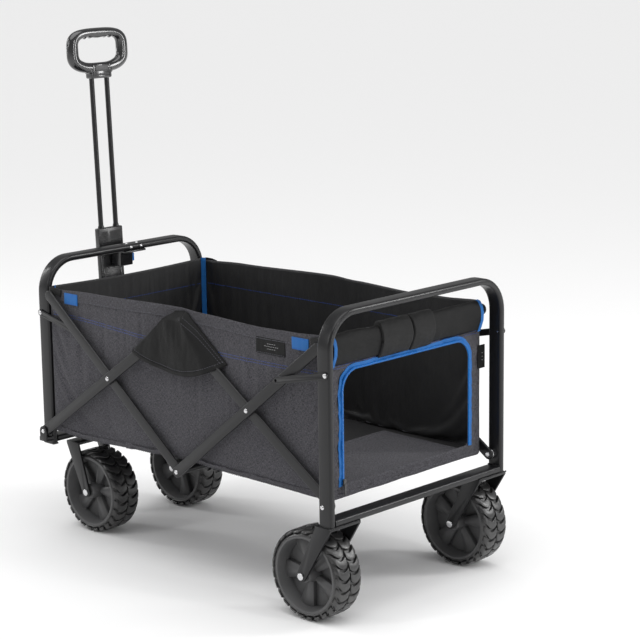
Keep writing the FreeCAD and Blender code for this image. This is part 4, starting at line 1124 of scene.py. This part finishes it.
def on_cloth(name, point, way, lift=0.0):
    """The nearest point of a panel to a point, seen along a direction, and its outward side."""
    tree = surfaces[name]
    for start in (point + way * RAY_START, point - way * RAY_START):
        hit, normal, _, _ = tree.ray_cast(start, -way, RAY_REACH)
        if hit:
            break
    else:
        hit, normal, _, _ = tree.find_nearest(point)
    normal = normal if normal.dot(way) > 0 else -normal
    return hit + normal * (sizes().cloth_thick / 2 + lift / 1000), normal


def along_path(points, pitch):
    """Stations at an even pitch along a run of points: place, direction and number of the point."""
    stations, carried = [], 0.0
    for index, (a, b) in enumerate(zip(points, points[1:])):
        way = b - a
        if way.length < 1e-9:
            continue
        step = pitch - carried
        while step <= way.length:
            stations.append((a + way * (step / way.length), way.normalized(), index))
            step += pitch
        carried = (carried + way.length) % pitch
    return stations


def dense(points, pitch=0.008):
    """A run of points filled in to an even spacing."""
    filled = [points[0]]
    for a, b in zip(points, points[1:]):
        count = max(1, round((b - a).length / pitch))
        filled += [a + (b - a) * (i + 1) / count for i in range(count)]
    return filled


def stitch_row(shape, points, normals):
    """Sewn stitches along a run of points that lie on the cloth."""
    s = sizes()
    row = bmesh.new()
    size = Matrix.Diagonal((s.stitch_long / 2, s.thread / 2, s.thread * 0.42, 1))
    for spot, way, index in along_path(points, s.stitch_pitch):
        side = normals[index].cross(way).normalized()
        turn = Matrix((way, side, way.cross(side))).transposed().to_4x4()
        turn.translation = spot
        bmesh.ops.create_icosphere(row, subdivisions=1, radius=1.0, matrix=turn @ size)
    added(shape, row)


def sewn(shape, panel, points, way, offsets=(0.0,), lift=0.2, across=None):
    """Rows of stitches on a panel, beside a run of points."""
    for offset in offsets:
        rows = dense(points)
        moved = []
        for index, point in enumerate(rows):
            ahead = rows[min(index + 1, len(rows) - 1)] - rows[max(index - 1, 0)]
            beside = ahead.normalized().cross(way)
            moved.append(point + beside * offset / 1000)
        hits = [on_cloth(panel, p, way, lift) for p in moved]
        stitch_row(shape, [h for h, n in hits], [n for h, n in hits])


def tape(name, points, normals, wide, thick, finish, body, lift=0.0, wave=0.0):
    """A strip of tape whose middle runs through the points, flat to their normals."""
    count = len(points)
    shape = bmesh.new()
    bmesh.ops.create_grid(shape, x_segments=count - 1, y_segments=4, size=0.5)
    run_length = [0.0]
    for a, b in zip(points, points[1:]):
        run_length.append(run_length[-1] + (b - a).length)
    layer = shape.loops.layers.uv.new("sheet")
    where = {}
    for vert in shape.verts:
        index = round((vert.co.x + 0.5) * (count - 1))
        ahead = points[min(index + 1, count - 1)] - points[max(index - 1, 0)]
        beside = normals[index].cross(ahead).normalized()
        share = vert.co.y
        where[vert] = (run_length[index], share * wide / 1000)
        crown = (0.25 - share * share) * thick * 0.3 / 1000
        vert.co = (points[index] + beside * share * wide / 1000
                   + normals[index] * (lift / 1000 + crown))
    for face in shape.faces:
        for loop in face.loops:
            loop[layer].uv = where[loop.vert]
    shape.normal_update()
    facing(shape, normals[count // 2])
    thing = finished(name, shape, finish, body, sharp=60)
    wall = thing.modifiers.new("thickness", "SOLIDIFY")
    wall.thickness, wall.offset = thick / 1000, 0.0
    edge = thing.modifiers.new("edge", "BEVEL")
    edge.width, edge.segments, edge.limit_method = thick / 4000, 2, "ANGLE"
    return soft(thing)


def laid(panel, points, way, lift):
    """Points and normals where a run of points lies on a panel."""
    hits = [on_cloth(panel, p, way, lift) for p in points]
    return [h for h, n in hits], [n for h, n in hits]


class CART_OT_tub_trim(Operator):
    """Hems, stitching, tabs, bindings, labels and corner straps sewn to the tub"""

    bl_idname = "cart.tub_trim"
    bl_label = "Tub Trim"

    def execute(self, context):
        thread, dark = bmesh.new(), bmesh.new()
        c = finishes
        for word, side in SIDES:
            panel, way = f"tub_side_cloth_{word}", Y * side
            y = side * 247
            seam = ((-438, 547), (-300, 543), (-129, 533), (0, 531), (326, 530), (438, 533))
            line = dense([at(x, y, z) for x, z in seam], 0.02)
            sewn(thread, panel, line, way, (-3, 3))
            for edge, drop, name in ((HEM_EDGE, 7, "hem"), (TOP_EDGE, -13, "brim")):
                line = [at(x, y, between(edge, x) + drop) for x in range(-440, 441, 10)]
                points, normals = laid(panel, line, way, 0.5)
                tape(f"tub_{name}_{word}", points, normals, 15 if name == "hem" else 27, 1.3,
                     [c["charcoal"]], "front_frame")
                for shift in ((-5.2, 5.2) if name == "hem" else (-10.5, )):
                    rows = [p + Z * shift / 1000 for p in points]
                    stitch_row(dark, [p + way * 0.0009 for p in rows], normals)
            for x0, x1, name in ((-392, -346, "front"), (346, 394, "rear")):
                line = [at(x0 + (x1 - x0) * i / 8, y, 587) for i in range(9)]
                points, normals = laid(panel, line, way, 2.2)
                tape(f"tab_{name}_{word}", points, normals, 26, 1.8, [c["blue_webbing"]],
                     "front_frame")
                for z in (-10.5, 10.5):
                    rows = [p + Z * z / 1000 + way * 0.0011 for p in points]
                    stitch_row(thread, rows, normals)
            edge = dense([at(22, side * 262, 603), at(140, side * 262, 513)], 0.01)
            for offset in (-4, 1):
                shifted = [p + Vector((offset / 1000, 0, offset / 1400)) for p in edge]
                hits = [on_cloth(f"gusset_{word}", p, way, 0.3) for p in shifted]
                stitch_row(dark, [h for h, n in hits], [n for h, n in hits])
            spot = gusset_spot(side)
            rim = [spot(0.02 + 0.96 * i / 40, 0.975) for i in range(41)]
            points, normals = laid(f"gusset_{word}", rim, way, 0.3)
            tape(f"gusset_hem_{word}", points, normals, 7, 1.2, [c["black"]], "front_frame")
            hits = [on_cloth(f"gusset_{word}", p + Z * 0.0065, way, 0.3) for p in rim]
            stitch_row(dark, [h for h, n in hits], [n for h, n in hits])
            for end, x in (("front", -1), ("rear", 1)):
                strap = [at(x * 402, side * 249.5, 597), at(x * 420, side * 250.5, 600),
                         at(x * 440, side * 251.5, 600), at(x * 447, side * 247, 599),
                         at(x * 447.5, side * 236, 598)]
                pts = dense(strap, 0.004)
                past = [0.0 if abs(p.x - MID) < 0.438 else 1.0 for p in pts]
                normals = [Vector((x * share, side * 0.6, 0)).normalized() for share in past]
                tape(f"corner_strap_{end}_{word}", pts, normals, 17, 1.8, [c["webbing"]],
                     "front_frame")
        front = "tub_front_cloth"
        line = [at(-445, y, 545) for y in range(-236, 237, 12)]
        right, left = ([at(x, y, 546) for x in range(-438, 439, 12)] for y in (246, -246))
        for panel, way, rows in ((front, X, line), ("tub_side_cloth_right", -Y, right),
                                 ("tub_side_cloth_left", Y, left)):
            sewn(thread, panel, rows, way, (0,), 0.3)
        for side in (-1, 1):
            for end, low in ((-1, 282), (1, 470)):
                column = [at(end * 437.5, side * 237.5, z) for z in range(low, 611, 8)]
                normals = [Vector((-end, -side, 0)).normalized()] * len(column)
                tape(f"binding_{'front' if end < 0 else 'rear'}_{'left' if side < 0 else 'right'}",
                     column, normals, 12, 1.6, [c["blue_webbing"]], "front_frame")
        finished_soft("blue_stitching", thread, c["thread"])
        finished_soft("grey_stitching", dark, c["dark_thread"])
        label(c)
        return {"FINISHED"}


def finished_soft(name, shape, finish, body="front_frame"):
    """A sewn or moulded detail of the tub in the finish given, marked as soft."""
    return soft(finished(name, shape, finish, body, sharp=80))


def label(c):
    """Plain woven patches, each with three rows of pale stitched marks; the side patch also has a stitched
    edge.
    """
    way = -Y
    line = [at(x, -247, 568.5) for x in range(239, 325, 5)]
    points, normals = laid("tub_side_cloth_left", line, way, 0.9)
    tape("side_patch", points, normals, 35, 1.2, [c["black"]], "front_frame")
    marks = bmesh.new()
    for row, half in ((5.5, 17), (0, 24), (-5.5, 17)):
        rows = [p + Z * row / 1000 + way * 0.0009 for p in points
                if abs((p.x - MID) * 1000 - 281.5) < half]
        stitch_row(marks, rows, [way] * len(rows))
    finished_soft("patch_marks", marks, c["pale"])
    edge = bmesh.new()
    for row in (-15, 15):
        stitch_row(edge, [p + Z * row / 1000 + way * 0.0008 for p in points], [way] * len(points))
    finished_soft("patch_stitching", edge, c["dark_thread"])
    points = [at(447.5, y, 486) for y in range(236, 262, 3)]
    tape("edge_tag", points, [X] * len(points), 53, 1.4, [c["black"]], "front_frame")
    marks = bmesh.new()
    for row in (-8, 0, 8):
        rows = [at(448.6, y, 486 + row) for y in range(244, 258, 2)]
        stitch_row(marks, rows, [X] * len(rows))
    finished_soft("tag_marks", marks, c["pale"])


class CART_OT_rear_band(Operator):
    """Rolled band over the doorway, with its two wide loops and double stitching"""

    bl_idname = "cart.rear_band"
    bl_label = "Rolled Rear Band"

    def execute(self, context):
        c = finishes
        outline = ((448.0, 549), (451.5, 553), (456, 565), (458.6, 580), (457.6, 596), (453, 608),
                   (446.5, 613.5), (440.5, 611), (438.5, 600), (439.5, 580), (441.0, 560), (443, 549))

        def band(name, low, high, swell, finish, columns, rows=12):
            shape = bmesh.new()
            bmesh.ops.create_grid(shape, x_segments=columns, y_segments=len(outline) * 4, size=0.5)
            layer = shape.loops.layers.uv.new("sheet")
            for face in shape.faces:
                for loop in face.loops:
                    loop[layer].uv = (loop.vert.co.x * (high - low) / 1000, loop.vert.co.y * 0.16)
            for vert in shape.verts:
                u, turn = vert.co.x + 0.5, (vert.co.y + 0.5) * len(outline)
                y = low + (high - low) * u
                index = int(turn) % len(outline)
                share = turn - int(turn)
                p = [outline[(index + k - 1) % len(outline)] for k in range(4)]
                x, z = (0.5 * (2 * p[1][a] + (p[2][a] - p[0][a]) * share
                               + (2 * p[0][a] - 5 * p[1][a] + 4 * p[2][a] - p[3][a]) * share ** 2
                               + (3 * p[1][a] - p[0][a] - 3 * p[2][a] + p[3][a]) * share ** 3)
                        for a in (0, 1))
                out = Vector((x - 448, 0, z - 582)).normalized()
                end = min(u, 1 - u) * (high - low)
                ease = math.sin(min(1.0, end / (9.0 if swell < 2 else 2.2)) * math.pi / 2)
                puff = swell * ease + creased(Vector((y * 0.8, turn * 18, low)), 46.0, 2.2) * ease
                vert.co = at(x + out.x * puff, y, z + out.z * puff)
            bmesh.ops.remove_doubles(shape, verts=shape.verts, dist=1e-5)
            loops = [e for e in shape.edges if e.is_boundary]
            bmesh.ops.holes_fill(shape, edges=loops, sides=0)
            bmesh.ops.recalc_face_normals(shape, faces=shape.faces)
            return soft(finished(name, shape, finish, "front_frame", sharp=70))

        roll = band("rear_roll", -241, 241, 0.6, [c["black"]], 150)
        for side in (-1, 1):
            wrap = [at(x, side * 236.5, z) for x, z in ((449.5, 545), (454, 556), (459.5, 572), (460.4, 588),
                                                         (457.5, 602), (450.5, 613), (443.0, 615.5))]
            points = dense(wrap, 0.005)
            normals = [Vector((p.x - at(448, 0, 0).x, 0, p.z - 0.582)).normalized() for p in points]
            tape(f"band_binding_{'left' if side < 0 else 'right'}", points, normals, 9, 1.4,
                 [c["blue_webbing"]], "front_frame")
        for name, low, high in (("wide", -96, 2), ("narrow", 4, 76)):
            band(f"roll_loop_{name}", low, high, 6.4, [c["webbing"]], 40)
        thread = bmesh.new()
        for z in (540.5, 546.0):
            points = [at(446.6, y, z) for y in range(-236, 237, 8)]
            hits = [on_cloth("tub_rear_cloth", p, X, 0.3) for p in points]
            stitch_row(thread, [h for h, n in hits], [n for h, n in hits])
        finished_soft("blue_band_stitching", thread, c["thread"])
        return {"FINISHED"}


class CART_OT_doorway(Operator):
    """Zip round the doorway: blue tape, teeth, slider and the hems below"""

    bl_idname = "cart.doorway"
    bl_label = "Doorway Zip"

    def execute(self, context):
        c = finishes
        start, stop = math.radians(-30.0), math.radians(210.4)
        angles = [start + (stop - start) * i / 190 for i in range(191)]
        outer = [at(446, *door_point(a, 0, 5.0)) for a in angles]
        points, _ = laid("tub_rear_cloth", outer, X, 0.8)
        tape("zip_tape", points, [X] * len(points), 11.5, 1.6, [c["blue_webbing"]], "front_frame")
        piping = bmesh.new()
        line = [at(447.2, *door_point(a, 0, 0.2)) for a in angles]
        bmesh.ops.create_grid(piping, x_segments=len(line) - 1, y_segments=8, size=0.5)
        for vert in piping.verts:
            index = round((vert.co.x + 0.5) * (len(line) - 1))
            turn = (vert.co.y + 0.5) * 2 * math.pi
            ahead = (line[min(index + 1, len(line) - 1)] - line[max(index - 1, 0)]).normalized()
            beside = ahead.cross(X)
            vert.co = line[index] + (X * math.cos(turn) + beside * math.sin(turn)) * 0.0026
        bmesh.ops.remove_doubles(piping, verts=piping.verts, dist=1e-6)
        bmesh.ops.recalc_face_normals(piping, faces=piping.faces)
        finished_soft("blue_piping", piping, c["blue_plastic"])
        teeth = bmesh.new()
        for spot, way, _ in along_path(line, 0.0029):
            side = X.cross(way)
            turn = Matrix((way, side, X)).transposed().to_4x4()
            turn.translation = spot + X * 0.0023
            bmesh.ops.create_cube(teeth, size=1.0, matrix=turn @ Matrix.Diagonal((0.0014, 0.0042, 0.0012, 1)))
        finished_soft("blue_zip_teeth", teeth, c["zip"])
        pull = bmesh.new()
        spot = line[-1]
        y, z = spot.y * 1000, spot.z * 1000
        block(pull, (448.5, y - 4.5, z - 1), (453, y + 4.5, z + 13), 1.2)
        block(pull, (452.4, y - 3, z - 22), (454.2, y + 3, z + 3), 0.8)
        soft(finished("zip_slider", pull, c["plastic"], "front_frame"))
        hems = bmesh.new()
        for z in (288.0, 270.0, 266.0):
            hits = [on_cloth("tub_rear_cloth", at(446, y, z), X, 0.4) for y in range(-236, 237, 8)]
            stitch_row(hems, [h for h, n in hits], [n for h, n in hits])
        finished_soft("grey_hem_stitching", hems, c["dark_thread"])
        for z, wide, name in ((286.0, 8.0, "upper"), (267.0, 9.0, "lower")):
            row = [at(446, y, z) for y in range(-240, 241, 8)]
            points, _ = laid("tub_rear_cloth", row, X, 0.5)
            tape(f"sill_{name}", points, [X] * len(points), wide, 1.3, [c["charcoal"]], "front_frame")
        flap = bmesh.new()
        for inset in (6, 12):
            for line in ([at(432, y, 279) for y in range(-194, 195, 8)],
                         [at(x, -200 + inset, 281) for x in range(204, 433, 8)],
                         [at(x, 200 - inset, 281) for x in range(204, 433, 8)]):
                hits = [on_cloth("door_flap_cloth", p, Z, 0.3) for p in line]
                stitch_row(flap, [h for h, n in hits], [n for h, n in hits])
        finished_soft("grey_flap_stitching", flap, c["dark_thread"], "tailgate")
        return {"FINISHED"}


# ---- studio ----------------------------------------------------------------------------------

def lamp(name, place, target, size, power):
    """A soft rectangular lamp aimed at a point."""
    data = bpy.data.lights.new(name, "AREA")
    data.shape, data.size, data.size_y = "RECTANGLE", size[0], size[1]
    data.energy = power
    thing = bpy.data.objects.new(name, data)
    thing.location = place
    thing.rotation_euler = (Vector(target) - Vector(place)).to_track_quat("-Z", "Y").to_euler()
    bpy.context.scene.collection.objects.link(thing)


class CART_OT_stage(Operator):
    """Pale studio floor, soft lights and the camera"""

    bl_idname = "cart.stage"
    bl_label = "Studio"

    def execute(self, context):
        scene = context.scene
        shape = bmesh.new()
        bmesh.ops.create_grid(shape, x_segments=1, y_segments=1, size=30.0)
        mesh = bpy.data.meshes.new("studio_floor")
        shape.to_mesh(mesh)
        shape.free()
        floor, _, _ = blank("Studio Floor", colours().floor, 0.9)
        mesh.materials.append(floor)
        thing = bpy.data.objects.new("studio_floor", mesh)
        scene.collection.objects.link(thing)
        world = bpy.data.worlds.new("studio")
        world.use_nodes = True
        tree = world.node_tree
        seen = node(tree, "ShaderNodeLightPath").outputs["Is Camera Ray"]
        strength = node(tree, "ShaderNodeMix", {0: seen, 2: 0.31, 3: 1.0})
        tree.nodes["Background"].inputs[0].default_value = (1, 1, 1, 1)
        tree.links.new(strength.outputs[0], tree.nodes["Background"].inputs[1])
        scene.world = world
        overhead = bpy.data.lights.new("overhead", "SUN")
        overhead.energy, overhead.angle = 2.0, math.radians(70)
        thing = bpy.data.objects.new("overhead", overhead)
        thing.rotation_euler = (math.radians(8), math.radians(6), 0)
        scene.collection.objects.link(thing)
        lamp("key", (-1.2, -3.6, 2.3), (0, 0, 0.4), (0.4, 1.8), 22)
        lamp("rim", (2.6, 2.4, 1.9), (0.2, 0, 0.4), (0.5, 2.0), 44)
        lamp("end_strip", (4.2, 0.5, 1.6), (0.4, 0, 0.4), (0.3, 2.2), 34)
        lamp("front_strip", (-3.4, -1.2, 1.8), (-0.3, 0, 0.4), (0.4, 2.0), 26)
        scene.view_settings.view_transform = "Standard"
        data = bpy.data.cameras.new("camera")
        data.sensor_width, data.lens = 36.0, 115.67
        camera = bpy.data.objects.new("camera", data)
        yaw, pitch, roll = 0.763018, -0.207094, -0.013618
        camera.matrix_world = (Matrix.Translation(at(3270.33, -3221.02, 1510.24))
                               @ Matrix.Rotation(yaw, 4, "Z")
                               @ Matrix.Rotation(math.pi / 2 + pitch, 4, "X")
                               @ Matrix.Rotation(roll, 4, "Z"))
        scene.collection.objects.link(camera)
        scene.camera = camera
        return {"FINISHED"}


class CART_OT_finishes(Operator):
    """Makes the paints, plastics and cloths that the pieces share"""

    bl_idname = "cart.finishes"
    bl_label = "Finishes"

    def execute(self, context):
        paint()
        return {"FINISHED"}


class CART_PT_panel(Panel):
    """Lists the cart's pieces in the order they are built"""

    bl_label = "Beach Cart"
    bl_idname = "CART_PT_panel"
    bl_space_type = "VIEW_3D"
    bl_region_type = "UI"
    bl_category = "Cart"

    def draw(self, context):
        for group in (context.scene.cart_sizes, context.scene.cart_colours):
            box = self.layout.box()
            for name in group.bl_rna.properties.keys():
                if name not in ("rna_type", "name"):
                    box.prop(group, name)
        for step in BUILD_STEPS:
            self.layout.operator(step.bl_idname)


BUILD_STEPS = (CART_OT_stage, CART_OT_finishes, CART_OT_end_frames, CART_OT_linkage, CART_OT_forks,
               CART_OT_wheels, CART_OT_handle, CART_OT_latch, CART_OT_tub, CART_OT_tub_trim,
               CART_OT_rear_band, CART_OT_doorway)
CLASSES = (CartSizes, CartColours, *BUILD_STEPS, CART_PT_panel)


def register():
    for kind in CLASSES:
        bpy.utils.register_class(kind)
    bpy.types.Scene.cart_sizes = PointerProperty(type=CartSizes)
    bpy.types.Scene.cart_colours = PointerProperty(type=CartColours)


def unregister():
    del bpy.types.Scene.cart_colours
    del bpy.types.Scene.cart_sizes
    for kind in reversed(CLASSES):
        bpy.utils.unregister_class(kind)


def main():
    """Builds every piece in order and gives each soft piece of the tub its own mesh."""
    register()
    for step in BUILD_STEPS:
        area, name = step.bl_idname.split(".")
        if getattr(getattr(bpy.ops, area), name)() != {"FINISHED"}:
            raise RuntimeError(f"{step.bl_label} did not finish")
    for thing in soft_pieces:
        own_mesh(thing)


if __name__ == "__main__":
    main()
